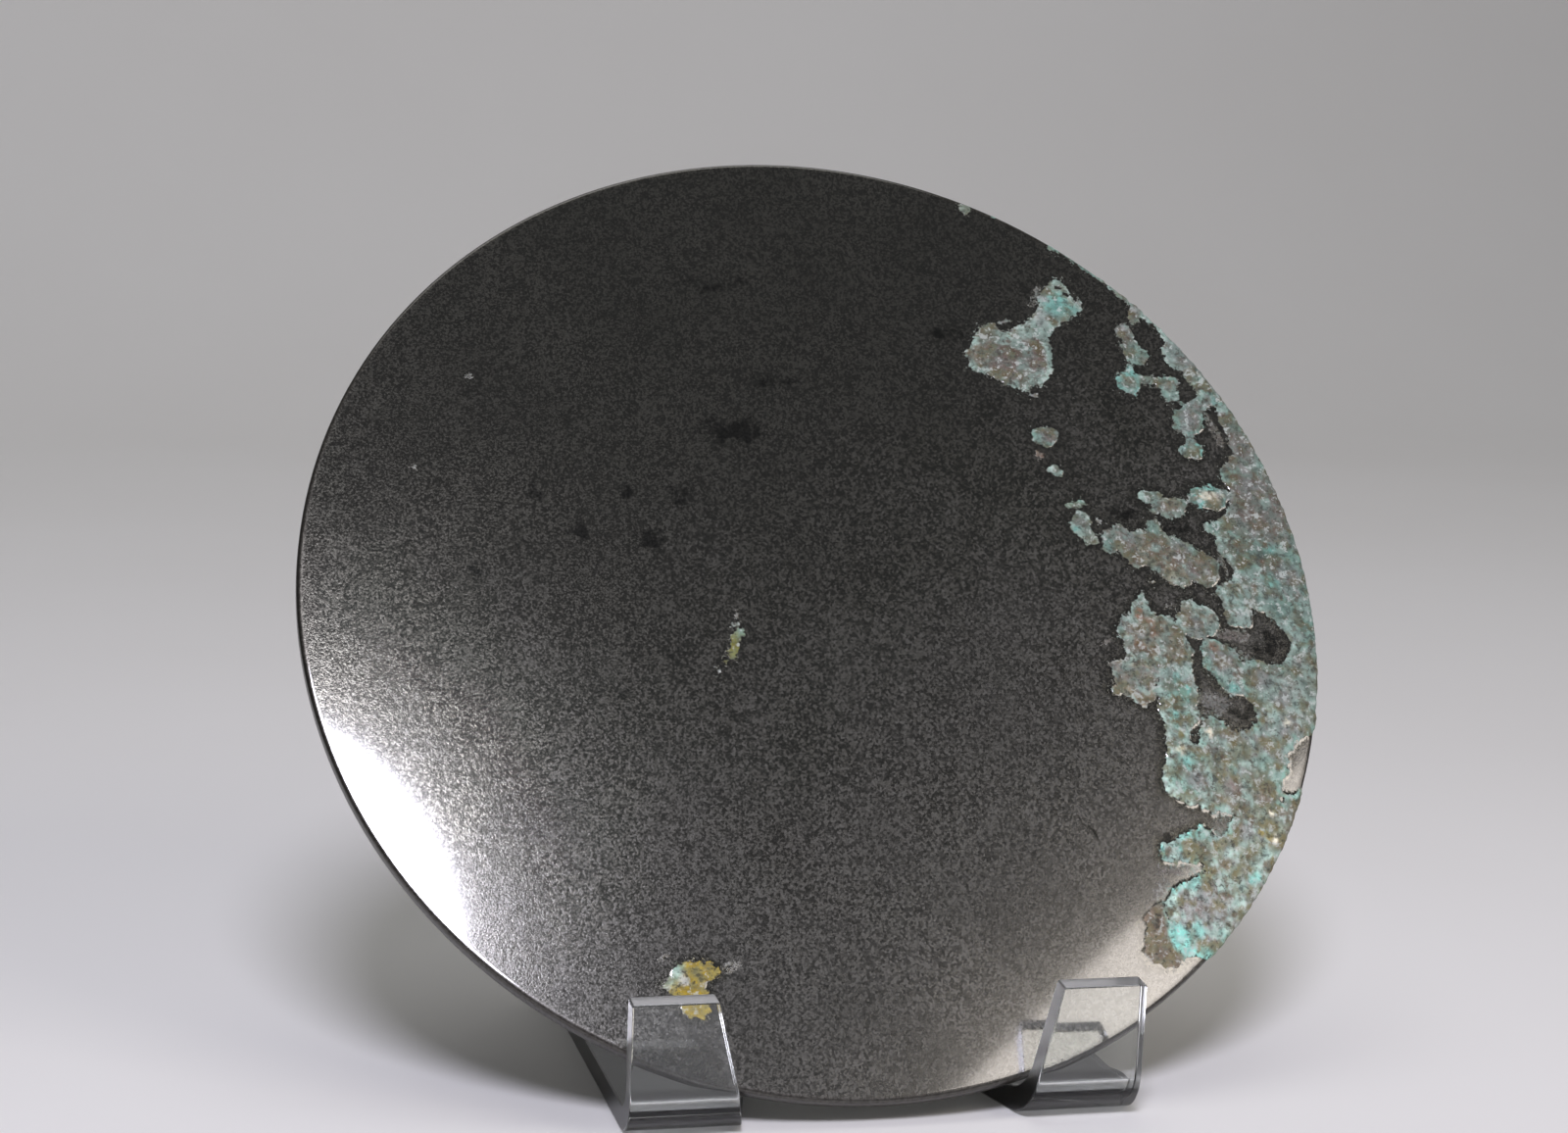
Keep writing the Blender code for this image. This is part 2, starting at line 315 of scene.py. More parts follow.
T = Tone
GROWTHS = (
    # The pair of lobes
    Flake(((38, 56), (39, 58.5), (40.5, 61.5), (42.5, 63.8), (45.5, 64.3), (47, 62.3), (49, 62.5),
           (51, 64.5), (56, 66.3), (58.5, 64), (57, 61.5), (57.3, 57.5), (57, 54.5), (55.5, 51.5),
           (54, 49.8), (51.5, 49.2), (49.3, 47.6), (46.5, 49), (43.5, 51.3), (40.3, 52.6), (38.3, 54)),
          T.BROWN_GREY, T.WHITE_TEAL, 0.45),
    Flake(((51, 62), (52, 64.8), (54.5, 66.5), (56, 69.5), (57, 72), (59, 74.5), (61, 76.3),
           (62.5, 75.8), (63.5, 73.3), (64.2, 71.8), (65.8, 71.5), (66, 70.5), (65.3, 68), (64, 66.6),
           (61, 65.2), (58, 63.2), (56, 61), (54, 60)), T.TEAL, T.WHITE_TEAL, 0.5),
    # Spots under them
    Bead(((51.3, 37.5, 1.6), (53, 37, 2.8)), T.GREY, T.TEAL, 0.4),
    Bead(((53.3, 29, 1), (54.6, 27.9, 1)), T.WHITE, T.WHITE_TEAL, 0.3),
    Bead(((51.8, 47.2, 0.6),), T.GREY, T.GREY, 0.12),
    Bead(((47, 65.2, 0.3), (48.5, 65.8, 0.3)), T.TEAL, T.GREY, 0.12),
    Bead(((55.3, 20.1, 0.35), (58.2, 21.2, 0.5)), T.TEAL, T.TEAL, 0.15),
    Bead(((57.6, 17, 2), (57, 15, 1.9)), T.GREY, T.WHITE_TEAL, 0.4),
    Bead(((57.5, 14.5, 1.2), (59.3, 12.3, 0.8)), T.TEAL, T.GREY_GREEN, 0.2),
    Bead(((43, 94.3, 1.1),), T.WHITE_TEAL, T.GREY_GREEN, 0.2),
    Bead(((49.5, 92, 0.5),), T.TEAL, T.TEAL, 0.15),
    # The chain of beads
    Bead(((74.8, 63, 1.7), (75.2, 61.5, 1.6)), T.WHITE, T.GREY, 0.35),
    Bead(((77.5, 66.3, 1.2), (78.2, 69.3, 1.4)), T.GREY, T.GREY_GREEN, 0.35),
    Bead(((75.3, 60.3, 1.6), (76.3, 57.3, 2.7)), T.GREY_GREEN, T.TEAL, 0.4),
    Bead(((74.3, 54, 0.9),), T.TEAL, T.TEAL, 0.3),
    Bead(((73.7, 50.5, 2.8),), T.TAN, T.TURQUOISE, 0.5),
    Bead(((75.8, 51.2, 1.1), (80, 50.9, 1)), T.TEAL, T.GREY_GREEN, 0.3),
    Bead(((81.2, 50.4, 1.6), (83.3, 50.3, 1.5), (82.2, 48, 1.8)), T.TAN, T.TEAL, 0.45),
    Bead(((84, 45.6, 0.45),), T.WHITE, T.TEAL, 0.15),
    Bead(((85.3, 40.8, 3.3), (86.4, 43, 2.5)), T.GREY, T.TEAL, 0.45),
    Bead(((87.5, 44.3, 1.7), (90.5, 46.3, 1.6)), T.GREY_GREEN, T.TEAL, 0.35),
    Bead(((85.4, 37.6, 0.6), (85.1, 34.1, 2.5)), T.TEAL, T.TURQUOISE, 0.4),
    # The band along the rim and the upper half of the mass on the right
    Bead(((61, 85.2, 0.35), (63.5, 83.3, 0.8), (66, 81.4, 0.35), (72, 76.3, 0.5)),
         T.GREY_GREEN, T.TEAL, 0.15),
    Flake(((71.5, 76.2), (74.5, 73), (77, 70.3), (77.6, 67.5), (78.5, 66.3), (79.3, 67.5), (80.5, 65.6),
           (82.8, 63.3), (83.8, 61), (82.6, 58.2), (83.8, 55), (86, 53.3), (88, 50.2), (88.7, 47.5),
           (89, 45.2), (92.3, 45), (92.7, 43.5), (92.5, 40.5), (93.8, 37), (94, 33.5), (92, 31.2),
           (90.7, 29), (90.4, 26.8), (91.5, 25.3), (91.3, 20.5), (90.3, 18.9), (88.5, 17.5), (86, 16.8),
           (84.5, 16), (84.6, 14.6), (86.5, 14), (87.2, 13.2), (86.8, 11.5), (86.3, 10), (87.5, 8),
           (89, 6), (88.8, 4.2), (88, 2.8), (86.5, 2.2), (84.3, 1.2), (84, 0), (85.2, -1.6),
           (85.5, -3.5), (84.9, -5), (85.8, -7), (87.2, -8), (90.3, -7.7), (91.4, -5.5), (91.5, -3.2),
           (93.5, -3.3), (94.7, -5.5), (97, -6.5), (98, -9.3), (99, -11.3), (98.2, -13.2), (104, -18),
           (112, -10), (112, 10), (108, 30), (97, 54), (82, 77)), T.TEAL, T.WHITE_TEAL, 0.4),
    Flake(((82, 22.5), (83, 24.3), (86, 25), (89.5, 25), (91.3, 24), (91.5, 22), (90.3, 20.5), (88, 19.2),
           (86.5, 20.2), (84, 20.3), (82.6, 21)), T.CREAM, T.TURQUOISE, 0.5),
    Flake(((74, 20.5), (75.5, 22.4), (79, 22.2), (81.5, 22.4), (81.9, 20.5), (80.3, 18.3), (77.5, 18),
           (75, 18.3), (73.2, 19.3)), T.TAN, T.GREY_GREEN, 0.3),
    Bead(((72.3, 22.7, 1.5), (74.6, 22.9, 1.4)), T.GREY_GREEN, T.WHITE_TEAL, 0.4),
    # The long patch
    Flake(((61, 12.3), (61.5, 10), (62.7, 9.5), (64.5, 10.3), (66, 8.2), (67.5, 6), (70, 6.5), (72, 5),
           (74, 3.2), (77, 1.7), (80, 2.7), (83, 1.2), (84.5, 2.3), (86, 4), (86.5, 6.5), (85.5, 8.5),
           (83, 9.5), (80, 11.5), (76.5, 13.3), (75, 15.5), (73.7, 17.8), (72.2, 17.2), (71.5, 14.8),
           (68, 14.5), (66.5, 16), (64.5, 15.3), (62, 15)), T.TAN, T.GREY_GREEN, 0.35),
    Bead(((61.5, 17, 0.5),), T.GREY, T.GREY, 0.1),
    Bead(((71, 2.6, 0.5),), T.GREY, T.TAN, 0.12),
    # The flakes and the column left of the bare islands
    Flake(((68, 0.2), (69.3, -2), (69.2, -4.4), (71, -5), (73.6, -5), (74.6, -7.5), (75.8, -9.5),
           (77, -13.3), (76.3, -15.8), (73, -16.2), (70, -16.6), (66, -15.8), (62, -15), (62, -13.5),
           (62.4, -11), (61.3, -9.4), (62.2, -7), (64.2, -4.5), (66.3, -1.8)), T.TAN, T.WHITE_TEAL, 0.45),
    Flake(((77, -9.8), (79.3, -10.3), (82.2, -9.6), (83.6, -7), (83, -5), (81.8, -3), (79.8, -2.4),
           (78.3, -1), (76.8, -1.8), (75.5, -4.3), (74, -6.5), (74.5, -9)), T.TAN, T.WHITE_TEAL, 0.45),
    Flake(((82.2, -10.3), (84, -12), (85.8, -12.8), (86.8, -15), (87.5, -17.5), (87.3, -21),
           (86.8, -23), (84.2, -23), (82.5, -22.3), (80.8, -19.3), (79, -16.3), (78.6, -13),
           (79.8, -10.8)), T.GREY, T.TEAL, 0.45),
    Flake(((58.5, -16), (62, -15), (66, -15.5), (69, -17), (68, -20), (67, -23), (66.3, -24),
           (64.3, -25.3), (62.8, -24), (61, -22.8), (58.8, -22.5), (57.1, -21.6), (57.6, -20.6),
           (59.3, -20.4), (59, -18.3)), T.TAN, T.TAN, 0.4),
    Flake(((69, -14.8), (72, -14.5), (75.3, -14.6), (76.3, -15.8), (76, -18), (76.3, -22),
           (75.6, -25), (76, -28), (74, -30.3), (73.4, -33.5), (76.2, -35), (76.8, -39), (77.5, -42),
           (76.5, -46), (73.3, -47.8), (70.2, -47), (68, -45.6), (66.4, -43.6), (65.4, -41.5),
           (66.4, -39), (67.2, -36), (68, -32.5), (68.6, -28.8), (67.3, -27), (67.3, -22),
           (68.5, -18.5)), T.TEAL, T.WHITE_TEAL, 0.5),
    # The lower half of the mass
    Flake(((98.2, -13), (96.8, -15.6), (95, -16.8), (91.5, -15.3), (88.5, -15.5), (87, -16.5),
           (86, -19.5), (86.8, -23), (88, -24.8), (88.2, -27.5), (87.6, -29.5), (86, -31),
           (82.5, -30.6), (80.8, -29.2), (78.5, -27.8), (75.5, -29), (74.5, -33), (74, -40), (74, -46),
           (73.3, -47.6), (75.3, -49.5), (77.5, -48.6), (79.5, -49.3), (78, -52), (76.6, -54.5),
           (75, -54.8), (73, -57), (71, -60.5), (72.5, -61.8), (72, -64), (72, -74), (70, -79.5),
           (78, -82), (94, -68), (104, -50), (112, -25), (110, -8)), T.GREY_GREEN, T.TEAL, 0.4),
    Flake(((62.3, -58.6), (62.3, -56.6), (63.3, -55), (65.5, -55), (67.5, -53.3), (70, -52.6),
           (72.5, -51.9), (74.3, -53), (75, -54.8), (75.8, -57), (75, -60), (72.5, -61.3),
           (70.5, -59.6), (67, -58.9), (64.2, -59.3)), T.GREY_GREEN, T.TURQUOISE, 0.5),
    Flake(((61.6, -76.6), (61.4, -75), (61.8, -71), (62, -68), (63.2, -65.4), (65.3, -63.6),
           (68, -62.3), (72, -61.6), (76, -62), (76, -72), (71.5, -79), (66.5, -78.6), (64, -78)),
          T.GREY, T.TURQUOISE, 0.55),
    Flake(((56.4, -70.5), (59, -68.3), (61.8, -67), (62.2, -76), (64.2, -78.3), (62.5, -80.5),
           (60, -81), (57.5, -80), (56, -77.5), (57, -75)), T.BROWN, T.BROWN, 0.06),
    # The stain low on the left, and the one in the middle
    Flake(((-39.3, -81), (-38, -79), (-36.3, -77.5), (-35.8, -76.3), (-33.5, -75.7), (-30.8, -76),
           (-29.7, -77.2), (-28.8, -78.2), (-31, -79.3), (-31.7, -81.5), (-31.8, -84.5), (-33, -86.7),
           (-35.5, -86.3), (-37.3, -84.5)), T.OCHRE, T.OCHRE, 0.22),
    Bead(((-39.2, -80.5, 0.7), (-37.6, -78.6, 0.8), (-36.5, -77.4, 0.7)), T.WHITE_TEAL, T.TEAL, 0.3),
    Flake(((-17.9, -7.3), (-17.2, -8.3), (-18, -10.3), (-19.2, -11.5), (-19.4, -13.5), (-20.5, -13.6),
           (-22.3, -14.3), (-21, -13), (-20.3, -11.3), (-20.3, -9), (-19.3, -8.2)), T.MOSS, T.MOSS, 0.08),
    Bead(((-18.2, -6.1, 0.45), (-17.7, -6.2, 0.4)), T.WHITE, T.WHITE, 0.12),
    Bead(((-17.6, -7.4, 0.6), (-17.8, -8.4, 0.5)), T.WHITE_TEAL, T.TEAL, 0.12),
    Bead(((-23, -16, 0.4),), T.WHITE_TEAL, T.WHITE, 0.12),
)

# Bare metal inside the growths: discs, and the place on the rim that mirrors the side panel
BARES = (
    Bead(((61, 74.3, 0.6),)), Bead(((62.6, 72.4, 0.6),)), Bead(((64.5, 71, 0.5),)),
    Flake(((96.3, -33), (104, -31.5), (101, -38), (98.6, -40), (96.6, -41), (95.2, -44), (93, -45.2),
           (91, -44.6), (91.3, -42), (93, -40), (93.2, -37), (95, -34.5))),
    Bead(((90.6, -46.4, 0.7),)), Bead(((74, -31, 0.7), (74.3, -33.3, 0.8))),
)

# Places where one tone shows through, as (x, y, radius, tone, strength)
DABS = (
    (41, 57, 3, T.TAN, 0.6), (43.5, 61.8, 2.4, T.GREY_GREEN, 0.7), (52.5, 63, 3, T.WHITE_TEAL, 0.8),
    (46.5, 55, 2, T.BROWN_GREY, 0.8), (53, 55.5, 2.5, T.BROWN_GREY, 0.7), (50, 51.5, 1.6, T.GREY_GREEN, 0.6),
    (60, 70, 3.2, T.TURQUOISE, 0.9), (63.5, 67.8, 1.5, T.TURQUOISE, 0.7), (57.6, 71.3, 1.1, T.WHITE, 0.8),
    (56.5, 66, 2, T.WHITE, 0.6), (61.5, 74.5, 1.2, T.GREY_GREEN, 0.7), (53.5, 36.8, 1.4, T.BROWN_GREY, 0.6),
    (57, 16.8, 1.2, T.BROWN_GREY, 0.6), (55.7, 14.6, 0.9, T.TURQUOISE, 0.7), (58.3, 15.4, 0.7, T.BROWN, 0.8),
    (74, 53, 1.2, T.TURQUOISE, 0.8), (73.9, 50.3, 1.2, T.OLIVE, 0.6), (82.2, 49.5, 1.3, T.BROWN_GREY, 0.6),
    (75.6, 60.8, 1.2, T.BROWN, 0.7), (76.6, 58, 1.5, T.TEAL, 0.6), (84.4, 39, 1, T.WHITE, 0.8),
    (85.8, 42, 2.2, T.GREY, 0.8), (84.6, 33.9, 1.2, T.WHITE_TEAL, 0.7), (78, 68.5, 1, T.WHITE, 0.6),
    (92.5, 45.8, 1.3, T.TURQUOISE, 0.5), (95, 38.5, 2, T.GREY_GREEN, 0.6), (87, 54, 1.6, T.WHITE, 0.4),
    (91.3, 28, 1.4, T.TEAL, 0.9), (95.8, 29.3, 1.3, T.WHITE, 0.8), (93.5, 24.5, 1.6, T.BROWN_GREY, 0.5),
    (94, 34, 6, T.BROWN_GREY, 0.6), (98, 20, 9, T.BROWN_GREY, 0.75), (97, 25, 3, T.GREY, 0.8),
    (88, 57, 5, T.GREY, 0.6), (92, 0, 4, T.WHITE_TEAL, 0.5), (101, 4, 4, T.GREY, 0.6),
    (99.6, 21.2, 1.3, T.WHITE_TEAL, 0.9), (94.5, 19.2, 0.7, T.WHITE, 0.9),
    (96.6, 18.2, 0.7, T.WHITE, 0.8), (95.6, 14.5, 0.8, T.WHITE, 0.8), (101.5, 15, 1.2, T.WHITE, 0.35),
    (87, 15.5, 1.6, T.TEAL, 0.8), (88.4, 12.8, 1.2, T.WHITE_TEAL, 0.8), (88.4, 9.3, 0.9, T.WHITE_TEAL, 0.9),
    (92.5, 14, 2, T.GREY_GREEN, 0.6), (91.3, 6.9, 1.9, T.OLIVE, 0.9), (95.3, 8.2, 2, T.DARK_BROWN, 0.75),
    (97.7, 9.6, 1.5, T.TURQUOISE, 0.8), (96.4, 7, 0.7, T.ORANGE, 0.5), (96.8, 2.5, 1.6, T.TURQUOISE, 0.75),
    (93, 1.4, 1.2, T.ORANGE, 0.45), (91.3, 1.3, 0.7, T.WHITE, 0.9), (102.5, 1.8, 0.7, T.WHITE, 0.9),
    (102.6, 0.1, 0.5, T.WHITE, 0.9), (99.7, 0.2, 0.6, T.WHITE, 0.8), (102.5, 8.8, 1.2, T.TEAL, 0.8),
    (88.3, -3.7, 3, T.WHITE_TEAL, 0.95), (86.4, 0.4, 1.9, T.WHITE_TEAL, 0.8), (88.5, -5.5, 1.2, T.WHITE, 0.5),
    (97, -3.8, 2.4, T.TEAL, 0.8), (99.5, -7.5, 1.8, T.WHITE_TEAL, 0.7), (101.3, -6.5, 1.4, T.OLIVE, 0.6),
    (103, -4, 1.4, T.WHITE_TEAL, 0.6), (92.5, -1.8, 1.2, T.ORANGE, 0.3), (94, -1, 1.2, T.TEAL, 0.7),
    (101.8, -14, 0.8, T.WHITE, 0.7), (99, -16.5, 1.4, T.WHITE, 0.5), (93, -16.8, 1.7, T.GREY_GREEN, 0.7),
    (91, -20, 2.4, T.GREY, 0.9), (96.5, -22, 2.6, T.WHITE, 0.35), (94.5, -24.5, 2.2, T.GREY, 0.8),
    (91.5, -27, 1.8, T.WHITE_TEAL, 0.7), (96.5, -26.5, 2, T.WHITE_TEAL, 0.55),
    (101.5, -22, 1.8, T.GREY_GREEN, 0.7),
    (98.3, -29.3, 1.2, T.WHITE_TEAL, 0.8), (94.3, -29.8, 0.8, T.CREAM, 0.7), (93.5, -31.5, 1.5, T.GREY, 0.8),
    (64, 13, 2, T.GREY_GREEN, 0.6), (62.5, 11.3, 1.4, T.TEAL, 0.8), (69, 12.3, 2, T.GREY, 0.5),
    (73.2, 15, 1.8, T.TEAL, 0.7), (77, 9, 3, T.BROWN_GREY, 0.4), (83.2, 4.3, 1.4, T.WHITE, 0.75),
    (81, 5.5, 2, T.BROWN_GREY, 0.5), (85, 7, 0.9, T.WHITE_TEAL, 0.8), (81, 9.8, 1.4, T.TEAL, 0.7),
    (70, 8, 1.8, T.TAN, 0.6), (75.5, 3.8, 1.5, T.CREAM, 0.25), (86.8, 22.8, 1.6, T.CREAM, 0.9),
    (83.6, 24, 1.2, T.TURQUOISE, 0.9), (85, 21, 1.2, T.TURQUOISE, 0.8), (88.8, 20.6, 1, T.WHITE, 0.7),
    (78, 20.5, 1.6, T.BROWN_GREY, 0.5), (81, 21.6, 0.9, T.TEAL, 0.8), (73.2, 22.7, 0.8, T.OLIVE, 0.7),
    (66.6, -4.9, 1.3, T.ORANGE, 0.8), (68.7, -6.1, 0.9, T.ORANGE, 0.6), (69.2, -9, 1.5, T.ORANGE, 0.7),
    (64.6, -12, 2, T.ORANGE, 0.3), (66, -10, 1.8, T.GREY, 0.7), (68.2, -1.4, 1, T.WHITE_TEAL, 0.8),
    (63.8, -9, 0.5, T.WHITE, 1.0), (62.2, -8.6, 0.9, T.TEAL, 0.7), (72.8, -12.6, 2, T.TAN, 0.6),
    (73.7, -8.4, 1.6, T.OLIVE, 0.8), (71.5, -11.2, 1.2, T.BROWN, 0.6), (75.8, -12.5, 1, T.WHITE_TEAL, 0.7),
    (79, -6.7, 1.7, T.GREY, 0.7), (77, -3.6, 1.4, T.TAN, 0.7), (78, -8.3, 1, T.WHITE, 0.5),
    (82.2, -5.8, 1, T.ORANGE, 0.4), (81.4, -3.4, 0.7, T.WHITE_TEAL, 0.7), (81.4, -12.2, 1.2, T.ORANGE, 0.7),
    (83.6, -16, 1.9, T.WHITE, 0.5), (85.8, -14, 1, T.GREY, 0.7), (84, -21.7, 1.1, T.TURQUOISE, 0.8),
    (86, -18.7, 1.2, T.TAN, 0.6), (63.4, -18.6, 1.3, T.OLIVE, 0.5), (58.1, -21.5, 0.9, T.WHITE_TEAL, 0.7),
    (66, -19.2, 1.2, T.TAN, 0.7), (60.3, -18.3, 1, T.GREY, 0.6), (74, -17.6, 1.9, T.WHITE_TEAL, 0.9),
    (73.6, -22.6, 1.6, T.TURQUOISE, 1.0), (70.4, -20.7, 1.4, T.OLIVE, 0.7), (71.2, -25.4, 1.3, T.OLIVE, 0.85),
    (69, -24.3, 0.9, T.WHITE_TEAL, 0.9), (70.4, -27.6, 1.1, T.TURQUOISE, 0.8),
    (72.3, -19.2, 1, T.TURQUOISE, 0.7),
    (68.4, -25.8, 0.9, T.TAN, 0.6), (71.4, -31.9, 1, T.OCHRE, 0.7), (70.5, -35.2, 1.4, T.CREAM, 0.6),
    (70.6, -35.2, 0.6, T.OCHRE, 0.7), (71.2, -38.3, 1.2, T.TURQUOISE, 0.7), (72.8, -41.6, 2.4, T.GREY, 0.9),
    (67.4, -40, 1.5, T.OLIVE, 0.6), (70.5, -45.5, 1.6, T.GREY_GREEN, 0.7),
    (75.6, -39, 1.2, T.WHITE_TEAL, 0.7),
    (76, -31.6, 1.6, T.WHITE_TEAL, 0.8), (77.3, -31.2, 0.6, T.CREAM, 1.0), (78, -37, 1.7, T.DARK_BROWN, 0.8),
    (83, -35, 2.6, T.OLIVE, 0.5), (80.5, -39.5, 1.5, T.TEAL, 0.6), (88, -38.5, 2.2, T.TEAL, 0.5),
    (85.5, -41.5, 2.4, T.OLIVE, 0.6), (80.5, -43.8, 2, T.BROWN_GREY, 0.7), (86.5, -46, 2, T.BROWN_GREY, 0.6),
    (79, -46.9, 1.5, T.WHITE, 0.45), (81.8, -47.8, 1.6, T.BROWN, 0.6), (91.5, -37, 1.5, T.OLIVE, 0.5),
    (97, -43.5, 1.6, T.OLIVE, 0.4), (87.8, -49, 0.8, T.CREAM, 0.8), (89.6, -48.7, 0.7, T.WHITE, 0.9),
    (81.5, -53, 2, T.GREY, 0.8), (85, -53.4, 0.9, T.OCHRE, 0.8), (87.2, -54.8, 1.2, T.CREAM, 0.8),
    (86.4, -54.4, 0.7, T.OCHRE, 0.9), (64.1, -57.1, 1.1, T.BROWN, 0.95), (66.8, -55.8, 1, T.TURQUOISE, 0.8),
    (71.6, -56.6, 1.3, T.DARK_BROWN, 0.55), (72.4, -53.3, 1.2, T.TEAL, 0.8), (74, -57.4, 0.8, T.WHITE, 0.8),
    (78.6, -56.6, 0.7, T.WHITE, 0.9), (77.6, -58, 1.4, T.WHITE_TEAL, 0.8), (81.5, -58, 1.7, T.OLIVE, 0.6),
    (85.4, -58.6, 1.2, T.WHITE_TEAL, 0.8), (79.3, -61.2, 1.2, T.WHITE, 0.4),
    (81.6, -62.8, 1.1, T.TURQUOISE, 0.7),
    (76, -60, 1.2, T.BROWN_GREY, 0.6), (63.6, -67, 1.6, T.WHITE_TEAL, 0.9),
    (63.6, -70.5, 1.4, T.WHITE_TEAL, 0.8),
    (64, -75, 2.7, T.TURQUOISE, 1.0), (68, -73.8, 1.9, T.TURQUOISE, 0.7), (63.8, -75.2, 1, T.WHITE, 0.4),
    (69.5, -68.3, 2.4, T.GREY, 0.8), (66.6, -65.4, 0.8, T.BROWN, 0.9), (71.2, -65.6, 0.9, T.BROWN, 0.9),
    (75, -66.4, 1.2, T.BROWN_GREY, 0.8), (77.8, -68.2, 1.1, T.WHITE_TEAL, 0.8),
    (69, -63.5, 1.6, T.TURQUOISE, 0.6),
    (68, -77.4, 1.3, T.TEAL, 0.7), (73.5, -67.5, 1, T.WHITE, 0.5), (67.8, -69.3, 0.8, T.BROWN_GREY, 0.7),
    (-36.4, -79.8, 1.3, T.WHITE, 0.8), (-31.8, -80.7, 0.7, T.GREY, 0.8), (-33, -77.6, 1.4, T.OLIVE, 0.4),
)

# Brown or grey dust that only veils the metal, as strokes
FILMS = (
    Bead(((83.5, -9.5, 1.4), (89, -9.8, 1.5)), T.BROWN_GREY),
    Bead(((84.5, -12.5, 1.2), (88, -14.5, 1.4)), T.GREY),
    Bead(((77, -23.5, 1.8), (81, -25, 2.2)), T.GREY), Bead(((76.5, -28, 1.8), (79.5, -27, 1.4)), T.GREY),
    Bead(((77, -49.8, 2), (75.8, -53, 2.2), (73.5, -60, 2)), T.OLIVE),
    Bead(((62, -60.5, 1.2), (70, -60.8, 1.6)), T.BROWN_GREY),
    Bead(((58.5, -69, 1.5), (62.5, -64, 1.6)), T.BROWN), Bead(((50.8, 32.7, 1.3),), T.ORANGE),
    Bead(((57, -11.5, 0.5), (59.5, -10.5, 0.6)), T.BROWN_GREY), Bead(((73, -3, 0.7), (75, -3, 0.7)), T.GREY),
    Bead(((55, 70, 1.2), (57, 74, 1)), T.GREY),
    Bead(((-17.8, -2.5, 0.3), (-18.2, -4.5, 0.5)), T.BROWN_GREY),
    Bead(((-40.2, -75.6, 0.5), (-38.8, -74.3, 0.5)), T.TAN),
    Bead(((-27, -77.5, 1.2), (-25.5, -76.8, 0.8)), T.TAN),
    Bead(((-68, 51.5, 0.9),), T.GREY), Bead(((-80.5, 30.5, 0.7),), T.GREY),
    Bead(((72, -79.5, 1), (66, -81.5, 1)), T.TAN),
    Bead(((89, 44, 0.8), (92, 36, 1.4)), T.BROWN), Bead(((86.5, 9, 0.6), (88, 3.5, 0.7)), T.GREY),
)


@dataclass(frozen=True)
class Smudge:
    """A place where the skin of the bronze is darker: its middle, its size and its strength."""

    x: float
    y: float
    wide: float
    high: float
    strength: float = 0.6


SMUDGES = (
    Smudge(-15, 38, 17, 7), Smudge(-34, 14, 8, 6), Smudge(-26, 23, 6, 5), Smudge(-58, 24, 8, 5, 0.4),
    Smudge(-48, 15, 4, 3.5, 0.9), Smudge(-70, 6, 5, 3), Smudge(-31, -12, 6, 4), Smudge(-42, -20, 6, 4, 0.4),
    Smudge(-15, 74, 20, 3.5), Smudge(35, 62, 11, 5, 0.5), Smudge(-68.5, 43, 2, 1.6, 1.3),
    Smudge(64.5, -53.6, 1.6, 1.8, 1.2), Smudge(-5, 50, 12, 6, 0.5), Smudge(-38, 24, 5, 3.5, 0.8),
    Smudge(67, 19, 7, 4, 0.6), Smudge(78, 15, 8, 5, 0.5), Smudge(94, -11, 11, 9, 0.45),
    Smudge(84.5, -26.5, 9, 8, 0.45),
)

# The corners of the short crack low on the right
CRACK = ((46.5, -48.5), (47.4, -50.6), (49.4, -52), (50, -54))


